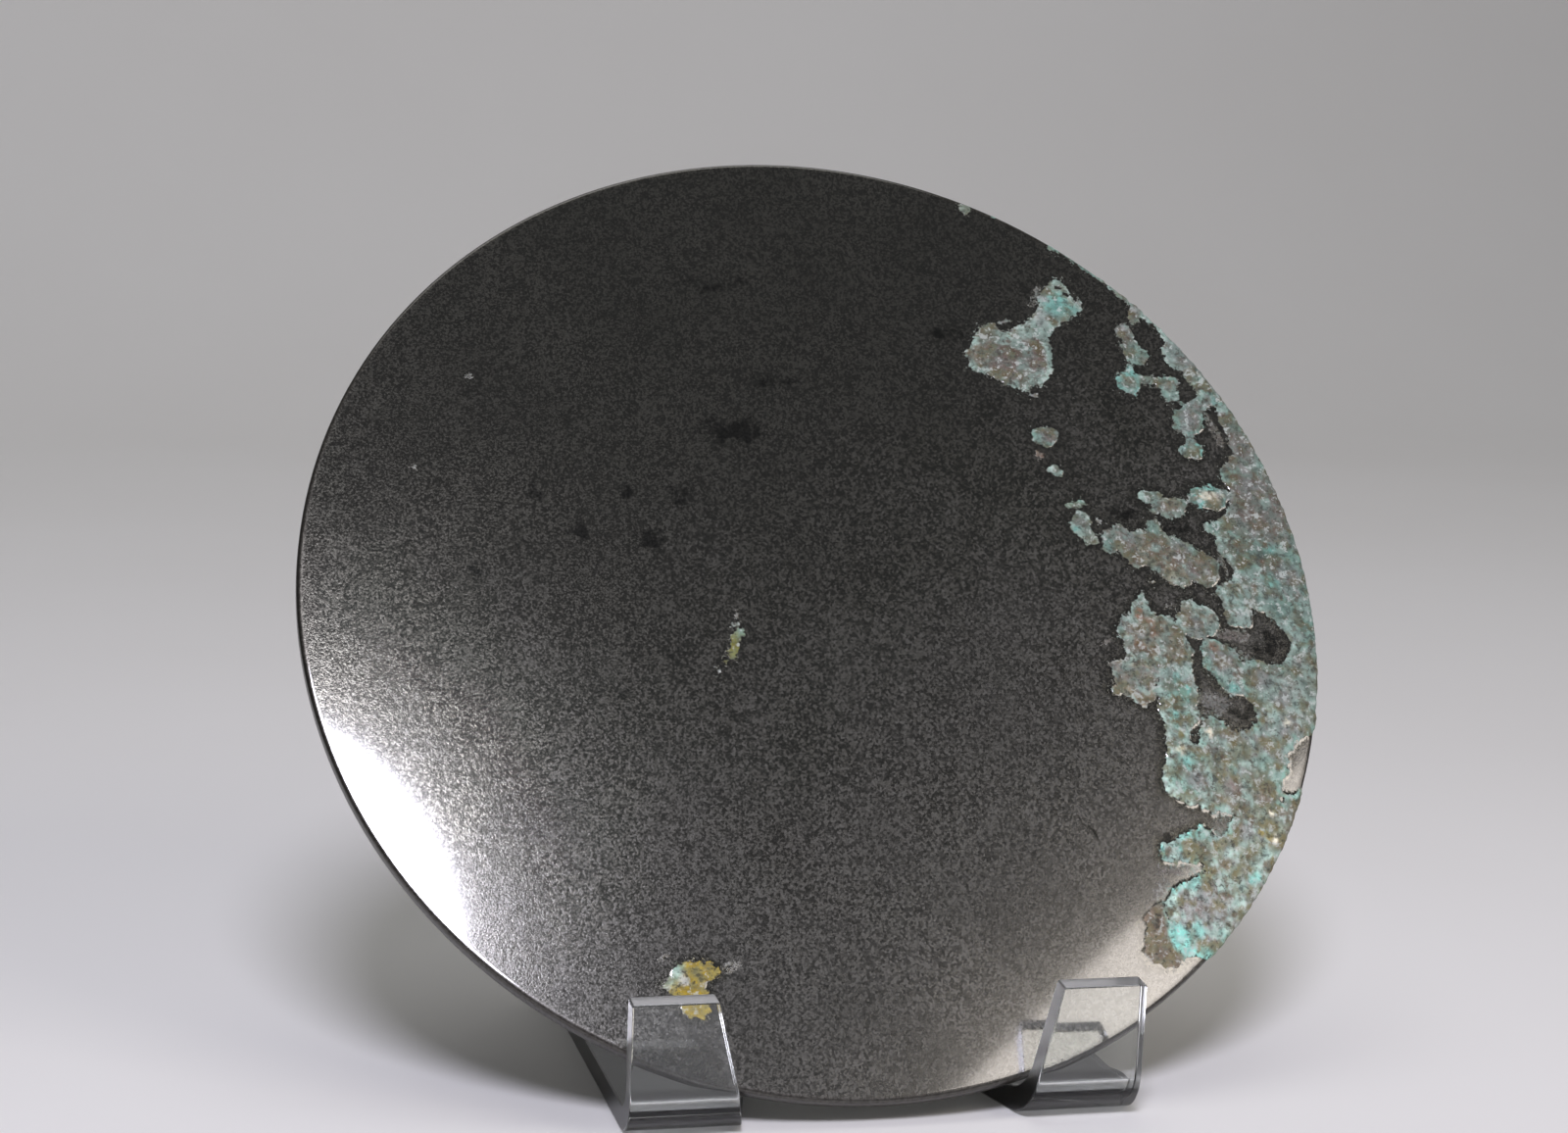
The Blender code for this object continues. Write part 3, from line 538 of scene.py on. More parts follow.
@dataclass
class Corrosion:
    """Reads the growths at points of the disc, roughened as real corrosion is. Sizes are in millimetres.

    A band is a pair of values, and its effect grows smoothly from the first to the second. Weights are the
    shares of an even level, the warts, the mottle and the grain.
    """

    noise_dimension: float = 0.8
    noise_gap: float = 2.1
    noise_octaves: int = 3
    ragged: float = 0.7
    ragged_size: float = 2.4
    fray: float = 0.5
    fray_size: float = 0.9
    wart_size: float = 1.5
    wart_slope: float = 1.25
    mottle_size: float = 2.6
    reach: float = 2.6
    merge: float = 1.8
    merge_band: tuple[float, float] = (-8, 3)
    rim_band: tuple[float, float] = (0.6, 2.1)
    rim_mottle: float = 0.8
    rim_shade: float = 1.2
    drift: float = 0.75
    drift_size: float = 5
    drift_band: tuple[float, float] = (0.1, 0.45)
    drift_lift: tuple[float, float] = (0.2, 0.35)
    dab_band: tuple[float, float] = (0.45, 1.25)
    dab_grain: float = 0.5
    dab_mottle: float = 0.4
    hollow: float = 0.6
    hollow_mottle: float = 0.6
    hollow_band: tuple[float, float] = (0.4, 0.0)
    # Painted light on the relief: the warts, the mottle and the grain lighten the crust's tint as light on
    # its bumps would, and leave it darker between them; the mottle and the grain also vary its tone
    painted_relief_light_weights: tuple[float, ...] = (0.72, 0.5, 0.3, 0.2)
    height_weights: tuple[float, ...] = (0.5, 0.6, 0.35, 0.25)
    # Painted shade and painted light: the crust's tint is darkened toward the top of the disc and lightened
    # toward the bottom, going over between the two heights of the band below
    painted_shade_upper: float = 0.7
    painted_light_lower: float = 1.6
    painted_light_band: tuple[float, float] = (0, -75)
    swell_band: tuple[float, float] = (-0.1, 1.2)
    foot_band: tuple[float, float] = (-0.1, 0.5)
    smudge_band: tuple[float, float] = (0.4, 1.4)
    film_band: tuple[float, float] = (-1.2, 0.8)
    crack_band: tuple[float, float] = (0.1, 0.5)
    crack_strength: float = 0.6
    crack_reach: float = 2

    def roughened(self, x: np.ndarray, y: np.ndarray, size: float, seed: float) -> np.ndarray:
        """Fractal noise at each point.

        Args:
            x: The points' places across the disc, in millimetres.
            y: The points' places up the disc.
            size: The size of the largest lumps, in millimetres.
            seed: Which noise; each number gives another.

        Returns:
            A value between about -1 and 1 for each point.
        """
        kind = self.noise_dimension, self.noise_gap, self.noise_octaves
        return np.array([noise.fractal((a / size, b / size, seed), *kind) for a, b in zip(x, y)])

    def lumps(self, x: np.ndarray, y: np.ndarray, size: float, seed: float) -> np.ndarray:
        """Rounded warts of about one size.

        Args:
            x: The points' places across the disc, in millimetres.
            y: The points' places up the disc.
            size: The size of a wart, in millimetres.
            seed: Which warts; each number gives others.

        Returns:
            1 at the middle of each wart, 0 between them.
        """
        near = [noise.voronoi((a / size, b / size, seed))[0][0] for a, b in zip(x, y)]
        return np.clip(1 - np.array(near) * self.wart_slope, 0, 1)

    def raw_depth(self, x: np.ndarray, y: np.ndarray) -> np.ndarray:
        """The depth inside the nearest growth, before any roughening."""
        depth = np.max([growth.depth(x, y) for growth in GROWTHS], axis=0)
        return np.minimum(depth, -np.max([bare.depth(x, y) for bare in BARES], axis=0))

    def marks(self, x: np.ndarray, y: np.ndarray) -> tuple[np.ndarray, np.ndarray, np.ndarray]:
        """The marks that lie in the skin and don't stand up from it.

        Args:
            x: The points' places across the disc, in millimetres.
            y: The points' places up the disc.

        Returns:
            How dark the skin is, how thick the film of dust is, and the film's linear colour, darkened by
            painted shade.
        """
        smudge = np.zeros(len(x))
        for spot in SMUDGES:
            away = np.hypot((x - spot.x) / spot.wide, (y - spot.y) / spot.high) * 2
            smudge = np.maximum(smudge, spot.strength * (1 - ease(away, *self.smudge_band)))
        for start, end in zip(CRACK, CRACK[1:]):
            away = along_line(x, y, start, end)[0]
            smudge = np.maximum(smudge, self.crack_strength * (1 - ease(away, *self.crack_band)))
        film, colour = np.zeros(len(x)), np.tile(Tone.GREY.rgb(), (len(x), 1))
        for veil in FILMS:
            share = ease(veil.depth(x, y), *self.film_band)
            # The films are darkened by the same painted shade as the crust at the top of the disc
            colour = blend(colour, veil.core.rgb() * self.painted_shade_upper, (share > film) * 1.0)
            film = np.maximum(film, share)
        return smudge, film, colour

    def fine(self, x: np.ndarray, y: np.ndarray) -> np.ndarray:
        """Finds where the mesh has to be fine: at the growths, the films and the crack.

        Args:
            x: The points' places across the disc, in millimetres.
            y: The points' places up the disc.

        Returns:
            True for each such point.
        """
        depth = np.max([self.raw_depth(x, y)] + [veil.depth(x, y) for veil in FILMS], axis=0)
        crack = np.min([along_line(x, y, *ends)[0] for ends in zip(CRACK, CRACK[1:])], axis=0)
        return (depth > -self.reach) | (crack < self.crack_reach)

    def read(self, x: np.ndarray, y: np.ndarray) -> tuple[np.ndarray, np.ndarray, np.ndarray]:
        """Works out the corrosion at each point.

        Args:
            x: The points' places across the disc, in millimetres.
            y: The points' places up the disc.

        Returns:
            The depth inside the corrosion, its height over the bronze, and its linear colour, with painted
            light and shade in it: lighter on the warts and toward the bottom of the disc, darker toward the
            top.
        """
        wander_x = self.roughened(x, y, self.ragged_size, seed=1.5) * self.ragged
        wander_y = self.roughened(x, y, self.ragged_size, seed=7.5) * self.ragged
        grain = self.roughened(x, y, self.fray_size, seed=3.5)
        wart = self.lumps(x, y, self.wart_size, seed=2.5)
        mottle = self.roughened(x, y, self.mottle_size, seed=9.5)
        warped_x, warped_y = x + wander_x, y + wander_y
        depths = np.array([growth.depth(warped_x, warped_y) for growth in GROWTHS])
        bare = np.max([spot.depth(warped_x, warped_y) for spot in BARES], axis=0)
        depth = np.minimum(depths.max(axis=0), -bare) + grain * self.fray
        shares = np.exp(np.clip(depths, *self.merge_band) * self.merge)
        shares /= shares.sum(axis=0)
        lift = sum(share * growth.lift for share, growth in zip(shares, GROWTHS))
        cores = sum(share[:, None] * growth.core.rgb() for share, growth in zip(shares, GROWTHS))
        rims = sum(share[:, None] * growth.rim.rgb() for share, growth in zip(shares, GROWTHS))
        tint = blend(rims * self.rim_shade, cores, ease(depth + mottle * self.rim_mottle, *self.rim_band))
        drift = self.roughened(x, y, self.drift_size, seed=11.5)
        drifting = ease(lift, *self.drift_lift)
        for pattern, tone in ((drift, Tone.BROWN), (-drift, Tone.GREY), (mottle, Tone.OLIVE),
                              (-mottle, Tone.WHITE_TEAL)):
            tint = blend(tint, tone.rgb(), self.drift * ease(pattern, *self.drift_band) * drifting)
        for dab_x, dab_y, radius, tone, strength in DABS:
            away = np.hypot(warped_x - dab_x, warped_y - dab_y)
            away = away + grain * self.dab_grain + mottle * self.dab_mottle
            near, far = (radius * bound for bound in self.dab_band)
            tint = blend(tint, tone.rgb(), strength * (1 - ease(away, near, far)))
        sunk = ease(wart - mottle * self.hollow_mottle, *self.hollow_band)
        tint = blend(tint, Tone.OLIVE.rgb(), self.hollow * sunk)
        # Painted light and shade on the relief, which also varies the tone, and the height of the relief
        painted_relief_light, rise = (sum((weight * pattern for weight, pattern in zip(weights[1:], (wart, mottle, grain))),
                           weights[0]) for weights in (self.painted_relief_light_weights, self.height_weights))
        tint *= painted_relief_light[:, None]
        # Painted shade and painted light: the tint is darker toward the top of the disc and lighter toward
        # the bottom
        lit = ease(y, *self.painted_light_band)
        tint *= (self.painted_shade_upper + (self.painted_light_lower - self.painted_shade_upper) * lit)[:, None]
        height = lift * ease(depth, *self.swell_band) * rise
        return depth, np.maximum(height, 0) * ease(depth, *self.foot_band), tint


# The mirror
@dataclass(frozen=True)
class Station:
    """One ring of the turned mirror: its radius and height, and whether its radius follows the arcs."""

    radius: float
    height: float
    on_arcs: bool = False


@dataclass
class BronzeMirror:
    """The disc: a slightly domed polished face, a rounded edge, and a plain relief with a pierced knob.

    Lengths are in millimetres, and the lean is in degrees from upright.
    """

    diameter: float = 210
    edge_thickness: float = 3.2
    edge_round: float = 0.7
    dome: float = 1.6
    field_thickness: float = 2.1
    rim_width: float = 15
    relief: float = 0.8
    slope: float = 0.6
    outer_ring: float = 143
    inner_ring: float = 50
    ring_width: float = 2.8
    arcs: int = 8
    arc_band: float = 95
    cusp_inset: float = 3
    arc_depth: float = 9
    knob: float = 30
    knob_height: float = 13
    knob_base: float = 40
    hole_width: float = 9
    hole_height: float = 7
    hole_lift: float = 1
    wear: float = 0.22
    lean: float = 35
    turns: int = 192
    ring_step: float = 2.5
    edge_gap: float = 1
    edge_insets: tuple[float, float] = (0.5, 0.12)
    edge_turns: tuple[float, ...] = (90, 68, 45, 22, 0)
    rim_step: float = 5
    knob_rings: int = 11
    knob_step: float = 8
    hole_sides: int = 40
    worn_angle: float = 36
    smooth_angle: float = 35
    face_slack: float = 0.1
    skirt_band: tuple[float, float] = (-1.6, -0.3)
    crust_cuts: int = 5
    corrosion: Corrosion = field(default_factory=Corrosion)

    def face_height(self, radius: Any) -> Any:
        """The domed face's height over the plane of its edge."""
        return self.dome * (1 - (2 * radius / self.diameter) ** 2)

    def arc_radius(self, angle: float) -> float:
        """Works out the inner edge of the band of linked arcs.

        Args:
            angle: The angle round the disc, in radians.

        Returns:
            The edge's radius there, in millimetres.
        """
        cusp = self.arc_band / 2 - self.cusp_inset
        middle = cusp - self.arc_depth
        half_sector = pi / self.arcs
        chord, half_chord = cusp * cos(half_sector), cusp * sin(half_sector)
        centre = (chord ** 2 + half_chord ** 2 - middle ** 2) / (2 * (chord - middle))
        offset = (angle + half_sector) % (2 * half_sector) - half_sector
        return centre * cos(offset) - max((centre - middle) ** 2 - (centre * sin(offset)) ** 2, 0) ** 0.5

    def face_stations(self) -> Iterator[Station]:
        """Gives the rings of the polished face, with two close ones where the edge begins to round.

        Yields:
            Each ring, from the middle outward.
        """
        radius = self.ring_step
        rounding = self.diameter / 2 - self.edge_round
        while radius < rounding - self.edge_gap:
            yield Station(radius, self.face_height(radius))
            radius += self.ring_step
        for inset in self.edge_insets:
            yield Station(rounding - inset, self.face_height(rounding - inset))

    def edge_stations(self) -> Iterator[Station]:
        """Gives the rings of the rounded edge.

        Yields:
            Each ring, from the face to the back.
        """
        middle = self.diameter / 2 - self.edge_round
        for height, side, turns in ((-self.edge_round, 1, self.edge_turns),
                                    (self.edge_round - self.edge_thickness, -1, self.edge_turns[::-1])):
            for turn in turns:
                angle = radians(turn) * side
                yield Station(middle + self.edge_round * cos(angle), height + self.edge_round * sin(angle))

    def raised(self, outer: float, inner: float, on_arcs: bool = False) -> Iterator[Station]:
        """Gives the rings of a flat-topped band on the back.

        Args:
            outer: The radius of its outer foot.
            inner: The radius of its inner foot.
            on_arcs: Whether its inner side follows the arcs.

        Yields:
            Each ring, from the outer foot to the inner foot.
        """
        foot, top = -self.field_thickness, -self.field_thickness - self.relief
        yield Station(outer, foot)
        yield Station(outer - self.slope, top)
        yield Station(inner + self.slope, top, on_arcs)
        yield Station(inner, foot, on_arcs)

    def knob_stations(self) -> Iterator[Station]:
        """Gives the rings of the knob's round base and its dome.

        Yields:
            Each ring, from the foot of the base upward.
        """
        top = -self.field_thickness - self.relief
        yield Station(self.knob_base / 2, -self.field_thickness)
        yield Station(self.knob_base / 2 - self.slope, top)
        for ring in range(self.knob_rings):
            angle = radians(ring * self.knob_step)
            yield Station(self.knob / 2 * cos(angle), top - (self.knob_height - self.relief) * sin(angle))

    def stations(self) -> Iterator[Station]:
        """Gives every ring of the mirror.

        Yields:
            Each ring, from the middle of the face to the top of the knob.
        """
        yield from self.face_stations()
        yield from self.edge_stations()
        rim = self.diameter / 2 - self.rim_width
        yield Station(rim + self.rim_step, -self.edge_thickness)
        yield Station(rim, -self.edge_thickness)
        yield Station(rim - self.slope * 2, -self.field_thickness)
        yield from self.raised(self.outer_ring / 2, self.outer_ring / 2 - self.ring_width)
        yield from self.raised(self.arc_band / 2, 0, True)
        yield from self.raised(self.inner_ring / 2, self.inner_ring / 2 - self.ring_width)
        yield from self.knob_stations()

    def set_ring(self, piece: bpy.types.Object, station: Station) -> None:
        """Moves the ring that is selected to a station's radius, point by point.

        Args:
            piece: The mirror, in edit mode.
            station: Where the ring goes.
        """
        bm = bmesh.from_edit_mesh(piece.data)
        for vert in bm.verts:
            if vert.select:
                angle = atan2(vert.co.y, vert.co.x)
                radius = station.radius + (self.arc_radius(angle) if station.on_arcs else 0)
                vert.co.xy = Vector((cos(angle), sin(angle))) * radius * MM
        bmesh.update_edit_mesh(piece.data)

    def turn(self) -> bpy.types.Object:
        """Turns the mirror ring by ring, face up, and closes it at the top of the knob.

        Returns:
            The turned mirror, in object mode.
        """
        stations = list(self.stations())
        last = stations[0]
        deselect_all()
        bpy.ops.mesh.primitive_circle_add(vertices=self.turns, radius=last.radius * MM,
                                          fill_type="TRIFAN", location=(0, 0, last.height * MM))
        piece = bpy.context.object
        apply_transform()
        bpy.ops.object.mode_set(mode="EDIT")
        inside = last.radius * MM / 2
        pick(piece, lambda edge: all(vert.co.xy.length > inside for vert in edge.verts), "edges")
        for station in stations[1:]:
            rise = (station.height - last.height) * MM
            bpy.ops.mesh.extrude_region_move(TRANSFORM_OT_translate={"value": (0, 0, rise)})
            if station.on_arcs or last.on_arcs:
                self.set_ring(piece, station)
            else:
                share = station.radius / last.radius
                bpy.ops.transform.resize(value=(share, share, 1),
                                         center_override=(0, 0, station.height * MM))
            last = station
        top = -self.field_thickness - self.knob_height
        bpy.ops.mesh.extrude_region_move(
            TRANSFORM_OT_translate={"value": (0, 0, (top - last.height) * MM)})
        bpy.ops.mesh.merge(type="CENTER")
        face_outward()
        bpy.ops.object.mode_set(mode="OBJECT")
        return piece

    def pierce_knob(self, piece: bpy.types.Object) -> None:
        """Cuts the arched cord hole through the knob, along the disc's X.

        Args:
            piece: The turned mirror, in object mode.
        """
        half = self.hole_width / 2
        foot = -self.field_thickness - self.relief - self.hole_lift
        spring = foot - (self.hole_height - half)
        deselect_all()
        bpy.ops.mesh.primitive_cylinder_add(vertices=self.hole_sides, radius=half * MM,
                                            depth=self.knob_base * MM, location=(0, 0, spring * MM),
                                            rotation=(0, pi / 2, 0))
        cutter = bpy.context.object
        apply_transform()
        bpy.ops.object.mode_set(mode="EDIT")
        pick(cutter, lambda vert: vert.co.z > (spring + SNAP) * MM)
        bpy.ops.transform.resize(value=(1, 1, 0), center_override=(0, 0, foot * MM))
        bpy.ops.object.mode_set(mode="OBJECT")
        activate(piece)
        apply_modifier(piece, "BOOLEAN", operation="DIFFERENCE", solver="EXACT", object=cutter)
        bpy.data.objects.remove(cutter)
        apply_modifier(piece, "BEVEL", limit_method="ANGLE", angle_limit=radians(self.worn_angle),
                       width=self.wear * MM, segments=2)

    def refine_crusted_faces(self, piece: bpy.types.Object) -> None:
        """Divides the faces that carry corrosion, so that it can stand up as real relief.

        Args:
            piece: The pierced mirror, in object mode.
        """
        bpy.ops.object.mode_set(mode="EDIT")
        bpy.ops.mesh.select_mode(type="FACE")
        bpy.ops.mesh.select_all(action="DESELECT")
        bm = bmesh.from_edit_mesh(piece.data)
        middles = np.array([face.calc_center_median() for face in bm.faces]) / MM
        front = middles[:, 2] > self.edge_round - self.edge_thickness
        bm.faces.ensure_lookup_table()
        for index in np.nonzero(front & self.corrosion.fine(middles[:, 0], middles[:, 1]))[0]:
            bm.faces[index].select_set(True)
        bmesh.update_edit_mesh(piece.data)
        bpy.ops.mesh.subdivide(number_cuts=self.crust_cuts)
        pick(piece, lambda face: len(face.verts) > 4, "faces")
        bpy.ops.mesh.quads_convert_to_tris(ngon_method="BEAUTY")
        bpy.ops.object.mode_set(mode="OBJECT")

    def grow_crust(self, piece: bpy.types.Object) -> None:
        """Raises the corrosion and stores what the finish reads: its depth, its colour and the marks.

        Args:
            piece: The refined mirror, face up, in object mode.
        """
        mesh = piece.data
        count = len(mesh.vertices)
        places, normals = np.zeros(count * 3), np.zeros(count * 3)
        mesh.vertices.foreach_get("co", places)
        mesh.vertices.foreach_get("normal", normals)
        places, normals = places.reshape(-1, 3), normals.reshape(-1, 3)
        x, y, z = (places / MM).T
        front = z > self.edge_round - self.edge_thickness - self.face_slack
        near = self.corrosion.raw_depth(x, y) > -self.corrosion.reach
        smudge, film, tint = self.corrosion.marks(x, y)
        depth, height = np.full(count, -self.corrosion.reach), np.zeros(count)
        depth[near], height[near], salts = self.corrosion.read(x[near], y[near])
        tint[near] = blend(tint[near], salts, ease(depth[near], *self.skirt_band))
        height[~front] = 0
        places += normals * height[:, None] * MM
        mesh.vertices.foreach_set("co", places.ravel())
        for name, values in (("crust_depth", depth), ("smudge", smudge * front), ("film", film * front)):
            mesh.attributes.new(name, "FLOAT", "POINT").data.foreach_set("value", values)
        colours = np.concatenate([tint, np.ones((count, 1))], axis=1)
        mesh.attributes.new("crust_tint", "FLOAT_COLOR", "POINT").data.foreach_set("color", colours.ravel())
        mesh.update()

    def place(self, piece: bpy.types.Object) -> Vector:
        """Leans the mirror back where its CAD node is.

        Args:
            piece: The mirror, face up at the origin.

        Returns:
            The middle of the disc, on the plane of its front edge.
        """
        low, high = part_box("mirror")
        lean = radians(self.lean)
        out = Vector((0, -cos(lean), sin(lean)))
        middle = (low + high) / 2 + out * self.edge_thickness / 2 * MM
        activate(piece)
        piece.rotation_euler = (pi / 2 - lean, 0, 0)
        piece.location = middle
        apply_transform()
        return middle

    def build(self) -> bpy.types.Object:
        """Builds, dresses and places the mirror.

        Returns:
            The finished piece.
        """
        piece = self.turn()
        piece.name = piece.data.name = "mirror_bronze"
        self.pierce_knob(piece)
        self.refine_crusted_faces(piece)
        self.grow_crust(piece)
        middle = self.place(piece)
        bpy.ops.object.shade_smooth_by_angle(angle=radians(self.smooth_angle))
        finish = TinBronze()
        piece.data.materials.append(finish.build(middle, radians(self.lean), self.diameter / 2))
        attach(piece, "root")
        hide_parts("mirror")
        return piece


@dataclass(frozen=True)
class Mask:
    """How a mask follows a pattern: smoothly from least to most as the pattern goes from low to high."""

    pattern: str
    low: float
    high: float
    most: float
    least: float = 0


# Sums of patterns, each one pattern and a share of another
SUMS = (
    # The grey veil's pattern: a gradient of wear and painted sheen, clouded, then grained by the crystals
    ("clouded", "aside", "cloud", 0.6), ("grained", "grain", "crystals", 0.6),
    ("granular", "crust_grain", "granules", 0.4), ("speckled", "grained", "patch", 0.6),
    ("smudged", "smudge", "patch", 1.8), ("filmed", "crust_grain", "film", 0.4),
    ("frayed", "crust_depth", "crust_grain", 1.6), ("dusted", "crust_grain", "crust_depth", 0.085),
    ("rubbed_and_sheen", "clouded", "crystals", 0.35), ("lit", "blotch", "granular", 0.5),
    ("sunk", "stain", "granular", -0.5),
)
MASKS = {
    "pale": Mask("speckled", 0.98, 1.3, 1), "fleck": Mask("speckled", 1.24, 1.34, 0.8),
    # The grey veil: partly wear, partly painted sheen that grows toward the bottom and the right of the disc
    "cloud": Mask("cloud", 0.35, 0.7, 0.35), "wear_and_sheen": Mask("rubbed_and_sheen", 0.3, 0.92, 0.43),
    "stained": Mask("smudged", 1.12, 1.55, 0.8), "white_salt": Mask("lit", 0.92, 1.01, 0.6),
    "teal_salt": Mask("blotch", 0.54, 0.42, 0.22), "brown_salt": Mask("sunk", 0.2, 0.33, 0.5),
    "pit": Mask("lit", 0.8, 0.67, 0.6), "crust": Mask("frayed", 0.62, 0.86, 1),
    "dust": Mask("dusted", 0.54, 0.62, 0.5), "film": Mask("filmed", 0.78, 1.0, 0.42),
    "crusty": Mask("crust_depth", -2.6, -0.4, 1),
}


@dataclass(frozen=True)
class TinBronze:
    """High-tin bronze, cast, ground and polished, under its old skin of tin oxide.

    The skin is dense and glassy, so it mirrors with a crisp edge over the broader haze of the etched
    metal under it. Where it has failed, copper salts stand on it as a dull crust. The grain of the crust
    is drawn a little coarser than it is, so that it still shows from a metre away.
    """

    dark: str = "#36352F"
    pale: str = "#66645B"
    fleck: str = "#5B5A52"
    cloud: str = "#36352F"
    stained: str = "#141413"
    # The grey veil's colour: partly wear, partly painted sheen, which lightens the skin toward the bottom and
    # the right of the disc
    wear_and_sheen: str = "#7A7874"
    edge: str = "#3A3631"
    white_salt: str = "#C6CDC6"
    teal_salt: str = "#7F9C8F"
    brown_salt: str = "#5C4B3E"
    pit: str = "#262420"
    roughness: tuple[float, float] = (0.12, 0.2)
    crust_roughness: float = 0.85
    skin_ior: float = 2.0
    skin_roughness: float = 0.055
    metal_share: float = 0.85
    stain_dulling: float = 0.5
    edge_dulling: float = 0.4
    edge_share: float = 0.75
    edge_band: tuple[float, float] = (1.6, 0.2)
    # Painted glint: how the crystals brighten the grey veil, cell by cell
    glint: tuple[float, float] = (1.1, 0.45)
    # The way the wear and the painted sheen grow across the disc, toward the bottom and the right
    wear_and_sheen_run: tuple[float, float, float] = (0.0024, -0.004, 0)
    grain_mm: float = 0.42
    patch_mm: float = 3.2
    cloud_mm: float = 26
    crystal_mm: float = 0.5
    granule_mm: float = 0.75
    crust_grain_mm: float = 0.7
    blotch_mm: float = 1.9
    stain_mm: float = 3.23
    relief_mm: float = 0.22
    relief_strength: float = 0.7
    grain_relief: float = 0.1

    def patterns(self, material: bpy.types.Material, middle: Vector,
                 lean: float) -> dict[str, bpy.types.NodeSocket]:
        """Adds the patterns that the masks follow.

        Args:
            material: The material that they go into.
            middle: The middle of the disc.
            lean: How far the disc leans back, in radians.

        Returns:
            Each pattern's output by its name.
        """
        turn = Matrix.Rotation(lean - pi / 2, 3, "X")
        coordinates = add_node(material, "TexCoord").outputs["Object"]
        on_disc = add_node(material, "Mapping", {
            "Vector": coordinates, "Rotation": (lean - pi / 2, 0, 0), "Location": -(turn @ middle)},
            vector_type="POINT").outputs["Vector"]
        found = {name: add_node(material, "TexNoise", {
            "Vector": on_disc, "Scale": 1 / (size * MM), "Detail": detail, "Roughness": rough},
            noise_dimensions="3D").outputs["Fac"] for name, size, detail, rough in (
                ("grain", self.grain_mm, 2, 0.55), ("patch", self.patch_mm, 4, 0.65),
                ("cloud", self.cloud_mm, 3, 0.5), ("crust_grain", self.crust_grain_mm, 3, 0.7),
                ("blotch", self.blotch_mm, 4, 0.75), ("stain", self.stain_mm, 4, 0.8))}
        for name, size in (("crystals", self.crystal_mm), ("granules", self.granule_mm)):
            found[name] = add_node(material, "TexVoronoi", {
                "Vector": on_disc, "Scale": 1 / (size * MM)}).outputs["Color"]
        for name in ("crust_depth", "smudge", "film"):
            found[name] = add_node(material, "Attribute", attribute_name=name).outputs["Fac"]
        found["tint"] = add_node(material, "Attribute", attribute_name="crust_tint").outputs["Color"]
        apart = add_node(material, "SeparateXYZ", {0: on_disc}).outputs
        flat = add_node(material, "CombineXYZ", {0: apart["X"], 1: apart["Y"]}).outputs[0]
        found["reach"] = add_node(material, "VectorMath", {0: flat}, operation="LENGTH").outputs["Value"]
        # A gradient of wear and painted sheen across the disc
        found["aside"] = add_node(material, "VectorMath", {0: on_disc, 1: Vector(self.wear_and_sheen_run) / MM},
                                  operation="DOT_PRODUCT").outputs["Value"]
        for name, first, second, weight in SUMS:
            found[name] = add_node(material, "Math", {
                0: found[second], 1: weight, 2: found[first]}, operation="MULTIPLY_ADD").outputs[0]
        return found

    def masks(self, material: bpy.types.Material, patterns: dict[str, bpy.types.NodeSocket],
              radius: float) -> dict[str, bpy.types.NodeSocket]:
        """Adds the masks that say where each tone and each roughness shows.

        Args:
            material: The material that they go into.
            patterns: Each pattern's output by its name.
            radius: The disc's radius in millimetres.

        Returns:
            Each mask's output by its name.
        """
        low, high = ((radius - inset) * MM for inset in self.edge_band)
        ranges = MASKS | {"edge": Mask("reach", low, high, self.edge_share),
                          "rough": Mask("grain", 0.35, 0.65, self.roughness[1], self.roughness[0])}
        return {name: add_node(material, "MapRange", {
            "Value": patterns[mask.pattern], "From Min": mask.low, "From Max": mask.high,
            "To Min": mask.least, "To Max": mask.most}, interpolation_type="SMOOTHSTEP").outputs["Result"]
            for name, mask in ranges.items()}

    def build(self, middle: Vector, lean: float, radius: float) -> bpy.types.Material:
        """Makes the finish.

        Args:
            middle: The middle of the disc.
            lean: How far the disc leans back, in radians.
            radius: The disc's radius in millimetres.

        Returns:
            The material.
        """
        material = new_material("patinated_tin_bronze")
        values = self.patterns(material, middle, lean)
        values |= self.masks(material, values, radius)

        # Each step is a name, an operation, and the names or numbers that go in. The grey veil, partly wear
        # and partly painted sheen, is diffuse, its crystals brighten it as a painted glint, and the stains
        # lie over it. Dust, film and crust cover the skin. The skin is metal where it is bare and not under
        # the grey veil, and glazed where it isn't stained.
        for name, operation, *terms in (
                ("hidden", "MAXIMUM", "stained", "crusty"), ("clear", "SUBTRACT", 1.0, "hidden"),
                ("glint", "MULTIPLY_ADD", "crystals", *self.glint), ("wear_and_sheen_clear", "MULTIPLY", "wear_and_sheen", "clear"),
                ("wear_and_sheen", "MULTIPLY", "wear_and_sheen_clear", "glint"), ("dust", "MULTIPLY", "dust", "crusty"),
                ("veil", "MAXIMUM", "dust", "film"), ("cover", "MAXIMUM", "veil", "crust"),
                ("bare", "SUBTRACT", 1.0, "cover"), ("shine", "MULTIPLY", "bare", self.metal_share),
                ("metal", "MULTIPLY_ADD", "wear_and_sheen", -self.metal_share, "shine"),
                ("gloss", "MULTIPLY_ADD", "stained", -self.stain_dulling, 1.0),
                ("inner", "SUBTRACT", 1.0, "edge"), ("glaze", "MULTIPLY", "bare", "gloss"),
                ("glaze", "MULTIPLY", "glaze", "inner"),
                ("matt", "MULTIPLY_ADD", "edge", self.edge_dulling, "cover"),
                ("grit", "MULTIPLY", "crust_grain", "cover"),
                ("relief", "MULTIPLY_ADD", "grain", self.grain_relief, "grit")):
            inputs = {at: values[term] if isinstance(term, str) else term for at, term in enumerate(terms)}
            values[name] = add_node(material, "Math", inputs, operation=operation,
                                    use_clamp=name in ("wear_and_sheen", "metal", "matt")).outputs[0]
        skin, salts = linear(self.dark), values["tint"]
